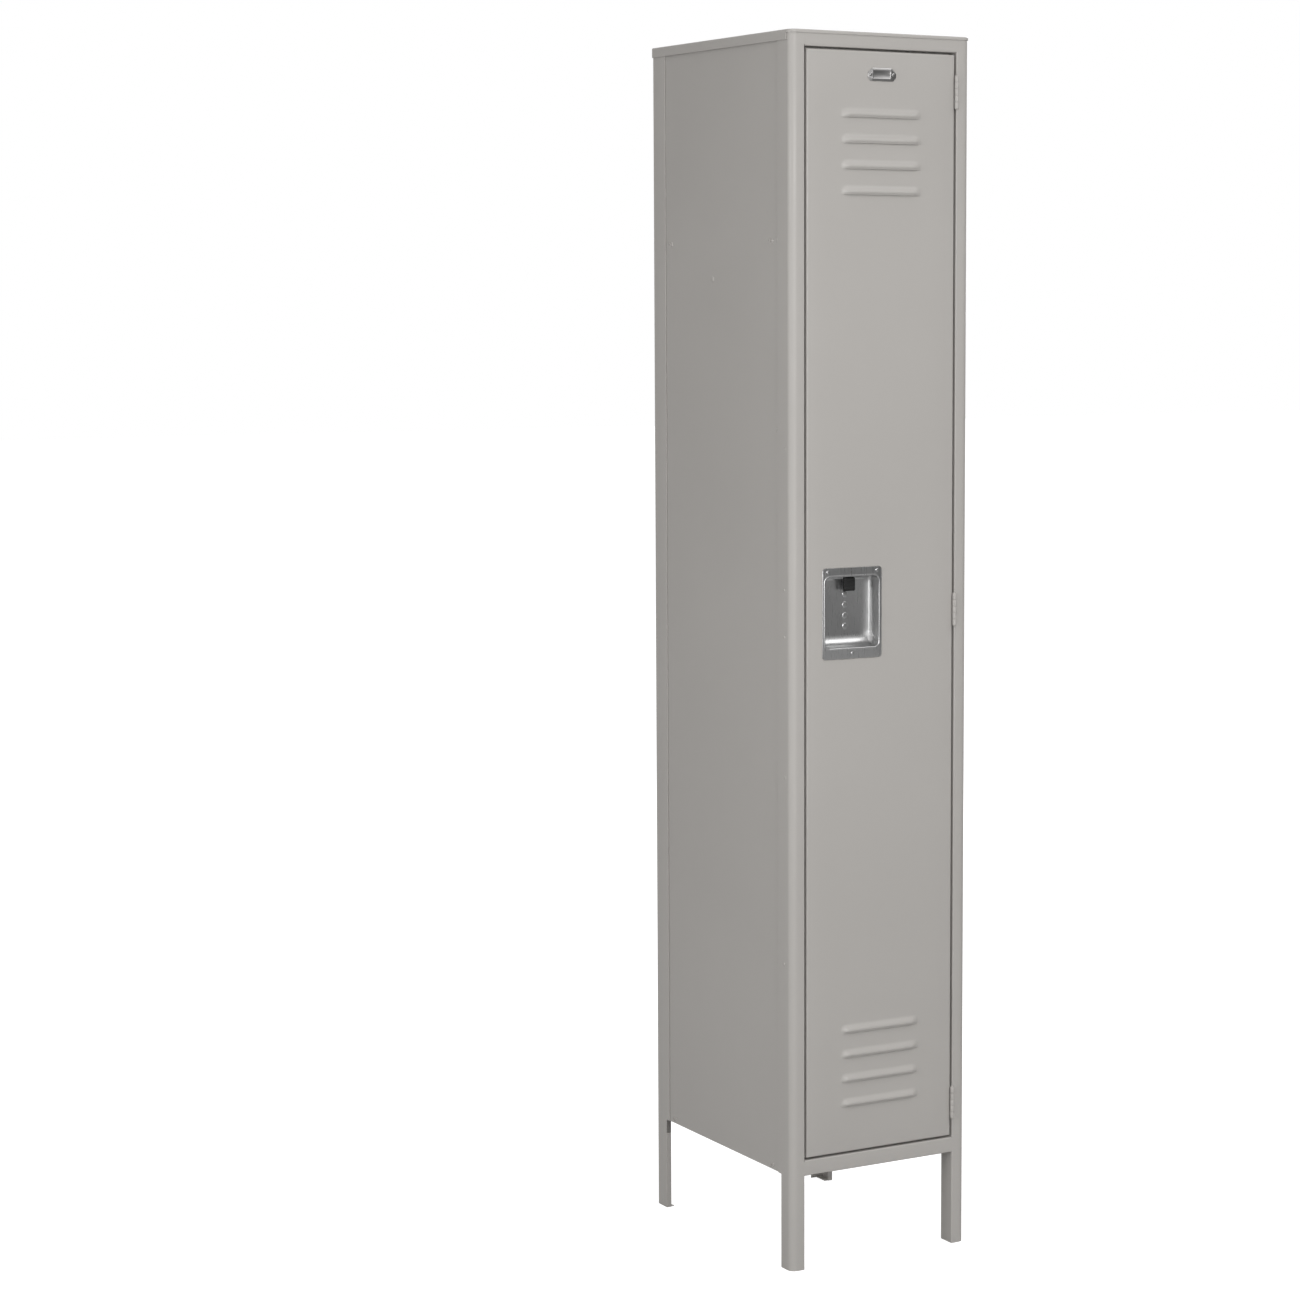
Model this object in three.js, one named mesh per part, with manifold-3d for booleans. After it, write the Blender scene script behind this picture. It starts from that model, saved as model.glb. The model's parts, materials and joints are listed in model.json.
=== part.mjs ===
// A single-tier steel locker cabinet on four legs.
// A folded steel door frame and two rear posts stand on the floor and carry thin side, back, top and bottom
// panels. The door turns on three five-knuckle hinges at the right. A finger lift in a recessed pocket
// raises a latch bar, hidden in the door's free edge, off three hooks on the frame.
// Millimetres. X runs across the front, Y from the door to the back, Z up. The origin is on the floor,
// at the middle of the whole object's plan.

import * as THREE from 'three';
import { mergeVertices } from 'three/addons/utils/BufferGeometryUtils.js';
import Module from 'manifold-3d';

const wasm = await Module();
wasm.setup();

// ---------------------------------------------------------------- driving dimensions

const WIDTH = 334;                 // across the frame posts
const DEPTH = 457;                 // from the frame's face to the rear posts
const HEIGHT = 1981;               // floor to top cover
const LEG = 155;                   // clear height under the body

const CLEAR = 0.3;                 // gap kept between pieces that touch
const FRAME_SHEET = 1.5;
const DOOR_SHEET = 1.5;
const BODY_SHEET = 1.0;
const COVER_SHEET = 1.2;

const FACE = 25.4;                 // width of every frame member, seen from the front
const DOOR_GAP = 3.5;              // gap between the door and the frame
const DOOR_DEPTH = 20;
const DOOR_RETURN = 12;            // inner lip of the door's two long edges
const DOOR_BEND = 3;
const STRIKE_DEPTH = 22;           // from the frame's face back to the strike
const STRIKE_LIP = 10;
const CORNER_RADIUS = 12;          // rounded outer front corners
const BEND = 0.8;
const POST_FLANGE = 42;            // how far the posts reach along the sides
const REAR_FACE = 25.4;            // how far the rear posts reach across the back
const PANEL_LAP = 12;              // how far a side panel reaches under the front post's flange
const LEG_DEPTH = 32;              // the legs are narrower than the posts above them
const REAR_FOOT = 15;              // how far the rear legs' feet reach across the back
const RAIL_FLANGE = 36;

const COVER_SKIRT = 16;            // top cover's skirt at the sides and back
const COVER_LIP = 5;               // and at the front

const HINGE_OUT = 3.5;             // hinge axis in front of the frame's face
const BARREL_RADIUS = 3.5;
const PIN_RADIUS = 1.6;
const PIN_PLAY = 0.05;
const HINGE_HEIGHT = 53;
const KNUCKLES = 5;
const LEAF_SHEET = 1.2;
const HINGE_CENTRES = { top: 1893, middle: 1060, bottom: 240 };

const SHELF_TOP = 1665;
const SHELF_SKIRT = 18;
const FLOOR_TOP = LEG + 15;
const FLOOR_SKIRT = 13;

const LOUVER_LENGTH = 152;
const LOUVER_HEIGHT = 16;
const LOUVER_OUT = 5;
const LOUVER_PITCH = 40.4;
const LOUVERS_IN_GROUP = 4;
const LOUVER_GROUP_TOPS = [1864, 396];

const NUMBER_PLATE = { width: 53, height: 21, thickness: 1, z: 1916, rivet: 21 };

const POCKET = { x: -54, z: 1065, width: 100, height: 114, depth: 22, ramp: 24, wall: 1.2 };
const POCKET_FLANGE = { width: 111, z0: 990, z1: 1137 };

const LIFT_TRAVEL = 12;
const LIFT_PAD = { width: 20, z0: 1098, z1: 1120, y0: 6, y1: 11.7 };
const LIFT_PLATE = { y0: 12, y1: 13.5, tongueWidth: 17, armLow: 1127, armHigh: 1145 };

const LATCH_BAR = { inset: 43, width: 8, y0: 8, y1: 11, z0: 300, z1: 1850 };
const LATCH_HOOK_HEIGHTS = { top: 1808, middle: 1069, bottom: 330 };
const LATCH_HOOK = { inset: 32, thickness: 2.5, nose: 6, half: 20, barb: 3 };
const LATCH_LUG = { thickness: 2.5, lift: 12.7, y0: 9, y1: 12 };
const GUIDE_HEIGHTS = { top: 1560, middle: 900, bottom: 560 };

// ---------------------------------------------------------------- places worked out from them

const COVER_OUT = CLEAR + COVER_SHEET;
const HINGE_PROUD = HINGE_OUT + BARREL_RADIUS;
const FRONT = (HINGE_PROUD - DEPTH - COVER_OUT) / 2;   // the frame's and the door's outer face
const BACK = FRONT + DEPTH;
const POST_TOP = HEIGHT - COVER_SHEET - CLEAR;
const RAIL_TOP_EDGE = HEIGHT - FACE;
const RAIL_BOTTOM_EDGE = LEG + FACE;
const DOOR_HALF = WIDTH / 2 - FACE - DOOR_GAP;
const DOOR_LOW = RAIL_BOTTOM_EDGE + DOOR_GAP;
const DOOR_HIGH = RAIL_TOP_EDGE - DOOR_GAP;
const HINGE_X = WIDTH / 2 - FACE - DOOR_GAP / 2;
const HINGE_Y = FRONT - HINGE_OUT;
const PANEL_OUTSIDE = WIDTH / 2 - FRAME_SHEET - CLEAR; // outer face of a side panel
const PANEL_INSIDE = PANEL_OUTSIDE - BODY_SHEET;
const BACK_PANEL_BACK = BACK - FRAME_SHEET - CLEAR;
const BACK_PANEL_FRONT = BACK_PANEL_BACK - BODY_SHEET;
const SIDE_RETURN = 16;                                // a side panel's lip in front of the back panel
const SIDE_RETURN_BACK = BACK_PANEL_FRONT - CLEAR;
const TRAY_HALF = PANEL_INSIDE - CLEAR;                // shelf and bottom panel, between the side panels
const TRAY_FRONT = FRONT + STRIKE_DEPTH + FRAME_SHEET + 2 * CLEAR;
const TRAY_BACK = SIDE_RETURN_BACK - BODY_SHEET - CLEAR;

const HANDS = { left: -1, right: 1 };

// x of a place `inset` in from the left (-1) or right (1) side
const across = (hand, inset) => hand * (WIDTH / 2 - inset);

// ---------------------------------------------------------------- solids

function toSolid(geometry) {
  const bare = geometry.clone();
  bare.deleteAttribute('normal');
  bare.deleteAttribute('uv');
  const merged = mergeVertices(bare, 1e-4);
  const vertProperties = new Float32Array(merged.attributes.position.array);
  const triVerts = new Uint32Array(merged.index.array);
  return new wasm.Manifold(new wasm.Mesh({ numProp: 3, vertProperties, triVerts }));
}

function toGeometry(solid) {
  const mesh = solid.getMesh();
  const geometry = new THREE.BufferGeometry();
  geometry.setAttribute('position', new THREE.BufferAttribute(new Float32Array(mesh.vertProperties), 3));
  geometry.setIndex(new THREE.BufferAttribute(new Uint32Array(mesh.triVerts), 1));
  geometry.computeVertexNormals();
  return geometry;
}

const join = (first, ...rest) => rest.reduce((sum, solid) => sum.add(solid), first);
const cut = (first, ...tools) => tools.reduce((left, tool) => left.subtract(tool), first);

function block([x0, x1], [y0, y1], [z0, z1]) {
  const box = new THREE.BoxGeometry(Math.abs(x1 - x0), Math.abs(y1 - y0), Math.abs(z1 - z0));
  return toSolid(box.translate((x0 + x1) / 2, (y0 + y1) / 2, (z0 + z1) / 2));
}

function cylinder(radius, axis, centre, length, sides = 12) {
  const shape = new THREE.CylinderGeometry(radius, radius, length, sides);
  if (axis === 'x') shape.rotateZ(Math.PI / 2);
  if (axis === 'z') shape.rotateX(Math.PI / 2);
  return toSolid(shape.translate(...centre));
}

function ball(radius, centre) {
  return toSolid(new THREE.SphereGeometry(radius, 10, 7).translate(...centre));
}

// A prism whose section is drawn in the plane across `axis`: x takes [y, z], y takes [x, z], z takes [x, y].
function prism(axis, section, from, to) {
  const shape = new THREE.Shape(section.map(([a, b]) => new THREE.Vector2(a, b)));
  const geometry = new THREE.ExtrudeGeometry(shape, { depth: to - from, bevelEnabled: false });
  const x = new THREE.Vector3(1, 0, 0);
  const y = new THREE.Vector3(0, 1, 0);
  const z = new THREE.Vector3(0, 0, 1);
  const place = new THREE.Matrix4();
  if (axis === 'x') place.makeBasis(y, z, x).setPosition(from, 0, 0);
  if (axis === 'y') place.makeBasis(x, z, y.negate()).setPosition(0, to, 0);
  if (axis === 'z') place.setPosition(0, 0, from);
  return toSolid(geometry.applyMatrix4(place));
}

// Rounds each inner corner of an open path with an arc of its own radius; 0 leaves it sharp.
function roundBends(path, radii) {
  const points = [path[0]];
  for (let i = 1; i < path.length - 1; i += 1) {
    const radius = radii[i - 1];
    if (radius <= 0) {
      points.push(path[i]);
      continue;
    }
    const corner = new THREE.Vector2(...path[i]);
    const toLast = new THREE.Vector2(...path[i - 1]).sub(corner).normalize();
    const toNext = new THREE.Vector2(...path[i + 1]).sub(corner).normalize();
    const half = Math.acos(toLast.dot(toNext)) / 2;
    const bisector = toLast.clone().add(toNext).normalize();
    const centre = corner.clone().addScaledVector(bisector, radius / Math.sin(half));
    const start = corner.clone().addScaledVector(toLast, radius / Math.tan(half)).sub(centre);
    const end = corner.clone().addScaledVector(toNext, radius / Math.tan(half)).sub(centre);
    const sweep = Math.atan2(start.cross(end), start.dot(end));
    const steps = radius > 2 * FRAME_SHEET ? 5 : 2;
    for (let step = 0; step <= steps; step += 1) {
      const spoke = start.clone().rotateAround(new THREE.Vector2(), (sweep * step) / steps);
      points.push([centre.x + spoke.x, centre.y + spoke.y]);
    }
  }
  points.push(path[path.length - 1]);
  return points;
}

// The closed section of a folded sheet: its outer face's path, with the sheet's thickness to the left of
// the path (side 1) or to the right (side -1). Each bend of the outer face has its own radius.
function foldedSection(path, radii, thickness, side) {
  const normal = (a, b) => new THREE.Vector2(a[1] - b[1], b[0] - a[0]).normalize();
  const innerRadii = [];
  const innerPath = path.map((point, i) => {
    const before = normal(path[Math.max(i - 1, 0)], path[Math.max(i, 1)]);
    const after = normal(path[Math.min(i, path.length - 2)], path[Math.min(i + 1, path.length - 1)]);
    const mitre = before.clone().add(after).normalize();
    const reach = (side * thickness) / mitre.dot(before);
    const turnsToSheet = before.cross(after) * side > 0;
    if (i > 0 && i < path.length - 1) innerRadii.push(radii[i - 1] + (turnsToSheet ? -thickness : thickness));
    return [point[0] + mitre.x * reach, point[1] + mitre.y * reach];
  });
  return [...roundBends(path, radii), ...roundBends(innerPath, innerRadii).reverse()];
}

// A flat sheet with a skirt turned down all round.
function tray([x0, x1], [y0, y1], top, skirt, sheet) {
  const outer = block([x0, x1], [y0, y1], [top - skirt, top]);
  const hollow = block([x0 + sheet, x1 - sheet], [y0 + sheet, y1 - sheet], [top - skirt - 1, top - sheet]);
  return cut(outer, hollow);
}

// ---------------------------------------------------------------- finishes

const FINISHES = {
  paint: { color: 0xa9a9a4, roughness: 0.45, metalness: 0.1 },
  stainless: { color: 0x9c9da0, roughness: 0.3, metalness: 1.0 },
  zinc: { color: 0xb4b6b8, roughness: 0.4, metalness: 1.0 },
  rubber: { color: 0x1c1c1c, roughness: 0.85, metalness: 0.0 },
  black_plastic: { color: 0x0d0d0d, roughness: 0.5, metalness: 0.0 },
  nylon: { color: 0xe4e2d8, roughness: 0.6, metalness: 0.0 },
  aluminium: { color: 0x7d7f82, roughness: 0.4, metalness: 1.0 },
};

const locker = new THREE.Group();

function add(name, finish, solid) {
  const mesh = new THREE.Mesh(toGeometry(solid), new THREE.MeshStandardMaterial(FINISHES[finish]));
  mesh.name = name;
  locker.add(mesh);
}

// ---------------------------------------------------------------- fasteners through the sheet

const BOLT = { shank: 2.4, head: 5, headHeight: 1.5, nut: 4.6, nutHeight: 3 };
const RIVET = { shank: 1.6, head: 3, headHeight: 1.0 };

// Bolt along X through a side wall: head outside, nut inside.
function sideBolt(hand, y, z, grip) {
  const outside = hand * (PANEL_OUTSIDE + CLEAR);
  const inside = outside - hand * (grip + 2 * CLEAR);
  const head = cylinder(BOLT.head, 'x', [outside + (hand * BOLT.headHeight) / 2, y, z], BOLT.headHeight);
  const end = inside - hand * (BOLT.nutHeight + 1);
  const shank = cylinder(BOLT.shank, 'x', [(outside + end) / 2, y, z], Math.abs(outside - end) + 0.5);
  const nut = cylinder(BOLT.nut, 'x', [inside - (hand * BOLT.nutHeight) / 2, y, z], BOLT.nutHeight, 6);
  return join(head, shank, nut);
}

function boltHole(axis, x, y, z) {
  return cylinder(BOLT.shank + CLEAR, axis, [x, y, z], 60);
}

// Rivet along Y through the door's skin and a plate on its face.
function faceRivet(x, z, plateFront) {
  const head = cylinder(RIVET.head, 'y', [x, plateFront - CLEAR - RIVET.headHeight / 2, z], RIVET.headHeight);
  const tail = FRONT + DOOR_SHEET + CLEAR;
  const from = plateFront - CLEAR - RIVET.headHeight / 2;
  const shank = cylinder(RIVET.shank, 'y', [x, (from + tail + 1) / 2, z], tail + 1 - from);
  const upset = cylinder(RIVET.shank + 0.8, 'y', [x, tail + 0.5, z], 1);
  return join(head, shank, upset);
}

const rivetHole = (x, z) => cylinder(RIVET.shank + CLEAR, 'y', [x, FRONT, z], 12);

// ---------------------------------------------------------------- frame

function frontPost(hand) {
  const outline = [
    [across(hand, 0), FRONT + POST_FLANGE],
    [across(hand, 0), FRONT],
    [across(hand, FACE), FRONT],
    [across(hand, FACE), FRONT + STRIKE_DEPTH],
    [across(hand, FACE + STRIKE_LIP), FRONT + STRIKE_DEPTH],
  ];
  const section = foldedSection(outline, [CORNER_RADIUS, BEND, BEND], FRAME_SHEET, -hand);
  const strip = prism('z', section, 0, POST_TOP);
  // the strike lip stops at the rails, and below them the same strip of sheet runs on flat
  const lip = [across(hand, FACE), across(hand, FACE + STRIKE_LIP + 1)];
  const lipDepth = [FRONT + STRIKE_DEPTH - BEND, FRONT + STRIKE_DEPTH + 5];
  const belowLip = block(lip, lipDepth, [-1, RAIL_BOTTOM_EDGE + CLEAR]);
  const aboveLip = block(lip, lipDepth, [RAIL_TOP_EDGE - CLEAR, HEIGHT]);
  const legSide = [across(hand, -1), across(hand, FRAME_SHEET + 1)];
  const besideLeg = block(legSide, [FRONT + LEG_DEPTH, FRONT + POST_FLANGE + 1], [-1, LEG]);
  const jamb = [across(hand, FACE - FRAME_SHEET), across(hand, FACE)];
  const legJamb = block(jamb, [FRONT + STRIKE_DEPTH / 2, FRONT + LEG_DEPTH], [0, LEG - 1]);
  const foot = prism('z', [
    [across(hand, CORNER_RADIUS), FRONT + FRAME_SHEET / 2],
    [across(hand, FACE - FRAME_SHEET / 2), FRONT + FRAME_SHEET / 2],
    [across(hand, FACE - FRAME_SHEET / 2), FRONT + LEG_DEPTH],
    [across(hand, FRAME_SHEET / 2), FRONT + LEG_DEPTH],
    [across(hand, FRAME_SHEET / 2), FRONT + CORNER_RADIUS],
  ], 0, FRAME_SHEET);
  return join(cut(strip, belowLip, aboveLip, besideLeg), legJamb, foot);
}

// A rail between the posts; `up` is 1 for the top rail, whose channel hangs from its outer edge, and -1
// for the bottom one.
function frameRail(outerEdge, openingEdge, up) {
  const outline = [
    [FRONT + RAIL_FLANGE, outerEdge],
    [FRONT, outerEdge],
    [FRONT, openingEdge],
    [FRONT + STRIKE_DEPTH, openingEdge],
    [FRONT + STRIKE_DEPTH, openingEdge - up * STRIKE_LIP],
  ];
  const section = foldedSection(outline, [BEND, BEND, BEND], FRAME_SHEET, up);
  const half = WIDTH / 2 - FACE - CLEAR;
  const rail = prism('x', section, -half, half);
  const lipEnd = half - STRIKE_LIP;
  const lipSpan = [openingEdge, openingEdge - up * (STRIKE_LIP + 1)];
  const depth = [FRONT + STRIKE_DEPTH - BEND, FRONT + STRIKE_DEPTH + 5];
  return cut(rail, block([-half - 1, -lipEnd], depth, lipSpan), block([lipEnd, half + 1], depth, lipSpan));
}

function rearPost(hand) {
  const outline = [
    [across(hand, 0), BACK - POST_FLANGE],
    [across(hand, 0), BACK],
    [across(hand, REAR_FACE), BACK],
  ];
  const strip = prism('z', foldedSection(outline, [BEND + 1], FRAME_SHEET, hand), 0, POST_TOP);
  const legSide = [across(hand, -1), across(hand, FRAME_SHEET + 1)];
  const besideLeg = block(legSide, [BACK - POST_FLANGE - 1, BACK - LEG_DEPTH], [-1, LEG]);
  const lipDepth = [BACK - LEG_DEPTH, BACK - LEG_DEPTH + FRAME_SHEET];
  const legLip = block([across(hand, 0), across(hand, 9)], lipDepth, [0, LEG - 24]);
  const footWidth = [across(hand, FRAME_SHEET / 2), across(hand, REAR_FOOT)];
  const foot = block(footWidth, [BACK - LEG_DEPTH, BACK - FRAME_SHEET / 2], [0, FRAME_SHEET]);
  return join(cut(strip, besideLeg), legLip, foot);
}

for (const [side, hand] of Object.entries(HANDS)) {
  add(`frame_post_${side}`, 'paint', frontPost(hand));
  add(`rear_post_${side}`, 'paint', rearPost(hand));
}
add('frame_rail_top', 'paint', frameRail(POST_TOP, RAIL_TOP_EDGE, 1));
add('frame_rail_bottom', 'paint', frameRail(LEG, RAIL_BOTTOM_EDGE, -1));

// ---------------------------------------------------------------- body panels

const SHELF_BOLT_Z = SHELF_TOP - SHELF_SKIRT / 2 - 2;
const FLOOR_BOLT_Z = FLOOR_TOP - FLOOR_SKIRT / 2 - 1;
const BOLT_PLACES = { front: FRONT + 62, rear: BACK - 62 };
const SIDE_HOOK = { y: FRONT + 254, z: 1595 };
const REAR_HOOK_Z = 1595;

function sidePanel(hand) {
  const outline = [
    [hand * PANEL_OUTSIDE, FRONT + POST_FLANGE - PANEL_LAP],
    [hand * PANEL_OUTSIDE, SIDE_RETURN_BACK],
    [hand * (PANEL_OUTSIDE - SIDE_RETURN), SIDE_RETURN_BACK],
  ];
  const section = foldedSection(outline, [BEND + 1], BODY_SHEET, hand);
  const sheet = prism('z', section, LEG, POST_TOP - CLEAR);
  const x = hand * PANEL_OUTSIDE;
  const holes = Object.values(BOLT_PLACES).flatMap((y) => [
    boltHole('x', x, y, SHELF_BOLT_Z),
    boltHole('x', x, y, FLOOR_BOLT_Z),
  ]);
  return cut(sheet, ...holes, boltHole('x', x, SIDE_HOOK.y, SIDE_HOOK.z));
}

// Shelf or bottom panel: a tray between the side panels, drilled for four bolts.
function wallTray(top, skirt, boltZ) {
  const sheet = tray([-TRAY_HALF, TRAY_HALF], [TRAY_FRONT, TRAY_BACK], top, skirt, BODY_SHEET);
  const holes = Object.values(BOLT_PLACES).flatMap((y) => [
    boltHole('x', TRAY_HALF, y, boltZ),
    boltHole('x', -TRAY_HALF, y, boltZ),
  ]);
  return cut(sheet, ...holes);
}

function topCover() {
  const x = WIDTH / 2 + COVER_OUT;
  const y = [FRONT - COVER_OUT, BACK + COVER_OUT];
  const radius = CORNER_RADIUS + COVER_OUT;
  const plan = (inset) => [
    ...roundBends([
      [-x + inset, y[1] - inset],
      [-x + inset, y[0] + inset],
      [x - inset, y[0] + inset],
      [x - inset, y[1] - inset],
    ], [radius - inset, radius - inset]),
  ];
  const outer = prism('z', plan(0), HEIGHT - COVER_SKIRT, HEIGHT);
  const hollow = prism('z', plan(COVER_SHEET), HEIGHT - COVER_SKIRT - 1, HEIGHT - COVER_SHEET);
  const frontDepth = [FRONT - COVER_OUT - 1, FRONT + CORNER_RADIUS];
  const belowLip = block([-x - 1, x + 1], frontDepth, [HEIGHT - COVER_SKIRT - 1, HEIGHT - COVER_LIP]);
  return cut(outer, hollow, belowLip);
}

const backHalf = WIDTH / 2 - FRAME_SHEET - CLEAR;
const backSheet = block([-backHalf, backHalf], [BACK_PANEL_FRONT, BACK_PANEL_BACK], [LEG, POST_TOP - CLEAR]);

for (const [side, hand] of Object.entries(HANDS)) {
  add(`side_panel_${side}`, 'paint', sidePanel(hand));
}
add('back_panel', 'paint', cut(backSheet, boltHole('y', 0, BACK_PANEL_BACK, REAR_HOOK_Z)));
add('top_cover', 'paint', topCover());
add('bottom_panel', 'paint', wallTray(FLOOR_TOP, FLOOR_SKIRT, FLOOR_BOLT_Z));
add('hat_shelf', 'paint', wallTray(SHELF_TOP, SHELF_SKIRT, SHELF_BOLT_Z));

const TRAY_GRIP = PANEL_OUTSIDE - TRAY_HALF + BODY_SHEET;
for (const [side, hand] of Object.entries(HANDS)) {
  for (const [place, y] of Object.entries(BOLT_PLACES)) {
    add(`shelf_bolt_${side}_${place}`, 'zinc', sideBolt(hand, y, SHELF_BOLT_Z, TRAY_GRIP));
    add(`floor_bolt_${side}_${place}`, 'zinc', sideBolt(hand, y, FLOOR_BOLT_Z, TRAY_GRIP));
  }
}

// ---------------------------------------------------------------- coat hooks

const HOOK_BASE = { width: 18, height: 44, thickness: 2.5 };
const PRONG = { radius: 3, reach: 34, rise: 20, drop: 10, tip: 4.8 };

// A hook prong that leaves a wall at `root`, along the level direction `out`, and turns up to a ball.
function prong(root, out) {
  const point = (reach, rise) => root.clone().addScaledVector(out, reach).setZ(root.z + rise);
  const path = new THREE.CatmullRomCurve3([
    point(0, 0),
    point(PRONG.reach * 0.45, -PRONG.drop * 0.9),
    point(PRONG.reach * 0.9, -PRONG.drop * 0.3),
    point(PRONG.reach, PRONG.rise),
  ]);
  const section = new THREE.Shape().absarc(0, 0, PRONG.radius, 0, 2 * Math.PI);
  const options = { steps: 8, curveSegments: 4, extrudePath: path, bevelEnabled: false };
  const rod = toSolid(new THREE.ExtrudeGeometry(section, options));
  return join(rod, ball(PRONG.tip, point(PRONG.reach, PRONG.rise).toArray()));
}

function sideHook(hand) {
  const wall = hand * (PANEL_INSIDE - CLEAR);
  const inner = wall - hand * HOOK_BASE.thickness;
  const { y, z } = SIDE_HOOK;
  const half = HOOK_BASE.width / 2;
  const base = block([wall, inner], [y - half, y + half], [z - HOOK_BASE.height + 12, z + 12]);
  const root = new THREE.Vector3(inner + hand, y, z - 20);
  return cut(join(base, prong(root, new THREE.Vector3(-hand, 0, 0))), boltHole('x', wall, y, z));
}

function rearHook() {
  const wall = BACK_PANEL_FRONT - CLEAR;
  const inner = wall - HOOK_BASE.thickness;
  const half = HOOK_BASE.width / 2 + 6;
  const low = REAR_HOOK_Z - HOOK_BASE.height + 12;
  const base = block([-half, half], [inner, wall], [low, REAR_HOOK_Z + 12]);
  const prongs = [-1, 1].map((hand) => {
    const out = new THREE.Vector3(hand * 0.7, -0.7, 0).normalize();
    return prong(new THREE.Vector3(hand * 6, inner, REAR_HOOK_Z - 20), out);
  });
  return cut(join(base, ...prongs), boltHole('y', 0, wall, REAR_HOOK_Z));
}

const HOOK_GRIP = BODY_SHEET + CLEAR + HOOK_BASE.thickness;

function rearBolt() {
  const outside = BACK_PANEL_BACK + CLEAR;
  const inside = BACK_PANEL_FRONT - 2 * CLEAR - HOOK_BASE.thickness;
  const end = inside - BOLT.nutHeight - 1;
  const head = cylinder(BOLT.head, 'y', [0, outside + BOLT.headHeight / 2, REAR_HOOK_Z], BOLT.headHeight);
  const shank = cylinder(BOLT.shank, 'y', [0, (outside + end) / 2 + 0.2, REAR_HOOK_Z], outside - end + 0.6);
  const nut = cylinder(BOLT.nut, 'y', [0, inside - BOLT.nutHeight / 2, REAR_HOOK_Z], BOLT.nutHeight, 6);
  return join(head, shank, nut);
}

for (const [side, hand] of Object.entries(HANDS)) {
  add(`coat_hook_${side}`, 'zinc', sideHook(hand));
  add(`coat_hook_bolt_${side}`, 'zinc', sideBolt(hand, SIDE_HOOK.y, SIDE_HOOK.z, HOOK_GRIP));
}
add('coat_hook_rear', 'zinc', rearHook());
add('coat_hook_bolt_rear', 'zinc', rearBolt());

// ---------------------------------------------------------------- latch hooks and silencers on the strike

const HOOK_X = -(WIDTH / 2 - LATCH_HOOK.inset);

function latchHook(z) {
  const back = FRONT + STRIKE_DEPTH - CLEAR;
  const nose = FRONT + LATCH_HOOK.nose;
  const rest = z + LATCH_LUG.lift - LATCH_HOOK.barb - 0.7;
  const outline = [
    [back, z - LATCH_HOOK.half],
    [back, z + LATCH_HOOK.half],
    [back - 4, z + LATCH_HOOK.half],
    [back - 7, rest],
    [nose + 4, rest],
    [nose + 3, rest + LATCH_HOOK.barb],
    [nose, rest],
    [nose, z],
  ];
  return prism('x', outline, HOOK_X - LATCH_HOOK.thickness / 2, HOOK_X + LATCH_HOOK.thickness / 2);
}

const SILENCER = { height: 16, x0: 27, x1: 30 };

function silencer(z) {
  const low = z + LATCH_HOOK.half + 6;
  const y = [FRONT + DOOR_DEPTH + CLEAR, FRONT + STRIKE_DEPTH - CLEAR];
  return block([across(-1, SILENCER.x0 + 2), across(-1, SILENCER.x1 + 5)], y, [low, low + SILENCER.height]);
}

for (const [place, z] of Object.entries(LATCH_HOOK_HEIGHTS)) {
  add(`latch_hook_${place}`, 'zinc', latchHook(z));
  add(`door_silencer_${place}`, 'rubber', silencer(z));
}

// ---------------------------------------------------------------- hinges

const KNUCKLE_PITCH = HINGE_HEIGHT / KNUCKLES;

// One leaf: every other knuckle, and a plate that lies in the gap between the door and the frame.
function hingeLeaf(z, firstKnuckle, leafX) {
  const low = z - HINGE_HEIGHT / 2;
  const plateFront = HINGE_Y + BARREL_RADIUS + 2 * CLEAR;
  const plateX = [leafX - LEAF_SHEET / 2, leafX + LEAF_SHEET / 2];
  let leaf = block(plateX, [plateFront, FRONT + DOOR_DEPTH - 3], [low, low + HINGE_HEIGHT]);
  for (let k = firstKnuckle; k < KNUCKLES; k += 2) {
    const span = [low + k * KNUCKLE_PITCH + CLEAR / 2, low + (k + 1) * KNUCKLE_PITCH - CLEAR / 2];
    const middle = (span[0] + span[1]) / 2;
    const barrel = cylinder(BARREL_RADIUS, 'z', [HINGE_X, HINGE_Y, middle], span[1] - span[0], 18);
    const neck = block(plateX, [HINGE_Y + PIN_RADIUS + 1, plateFront + 1], span);
    leaf = join(leaf, barrel, neck);
  }
  return cut(leaf, cylinder(PIN_RADIUS + PIN_PLAY, 'z', [HINGE_X, HINGE_Y, z], HINGE_HEIGHT + 10, 18));
}

function hingePin(z) {
  const pin = cylinder(PIN_RADIUS, 'z', [HINGE_X, HINGE_Y, z], HINGE_HEIGHT + 2, 18);
  const heads = [-1, 1].map((end) => {
    const headZ = z + end * (HINGE_HEIGHT / 2 + CLEAR + 0.5);
    return cylinder(BARREL_RADIUS - 0.8, 'z', [HINGE_X, HINGE_Y, headZ], 1);
  });
  return join(pin, ...heads);
}

const leafOffset = DOOR_GAP / 2 - CLEAR - LEAF_SHEET / 2;
for (const [place, z] of Object.entries(HINGE_CENTRES)) {
  add(`hinge_${place}_frame_leaf`, 'paint', hingeLeaf(z, 0, HINGE_X + leafOffset));
  add(`hinge_${place}_door_leaf`, 'paint', hingeLeaf(z, 1, HINGE_X - leafOffset));
  add(`hinge_${place}_pin`, 'paint', hingePin(z));
}

// ---------------------------------------------------------------- door

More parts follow.
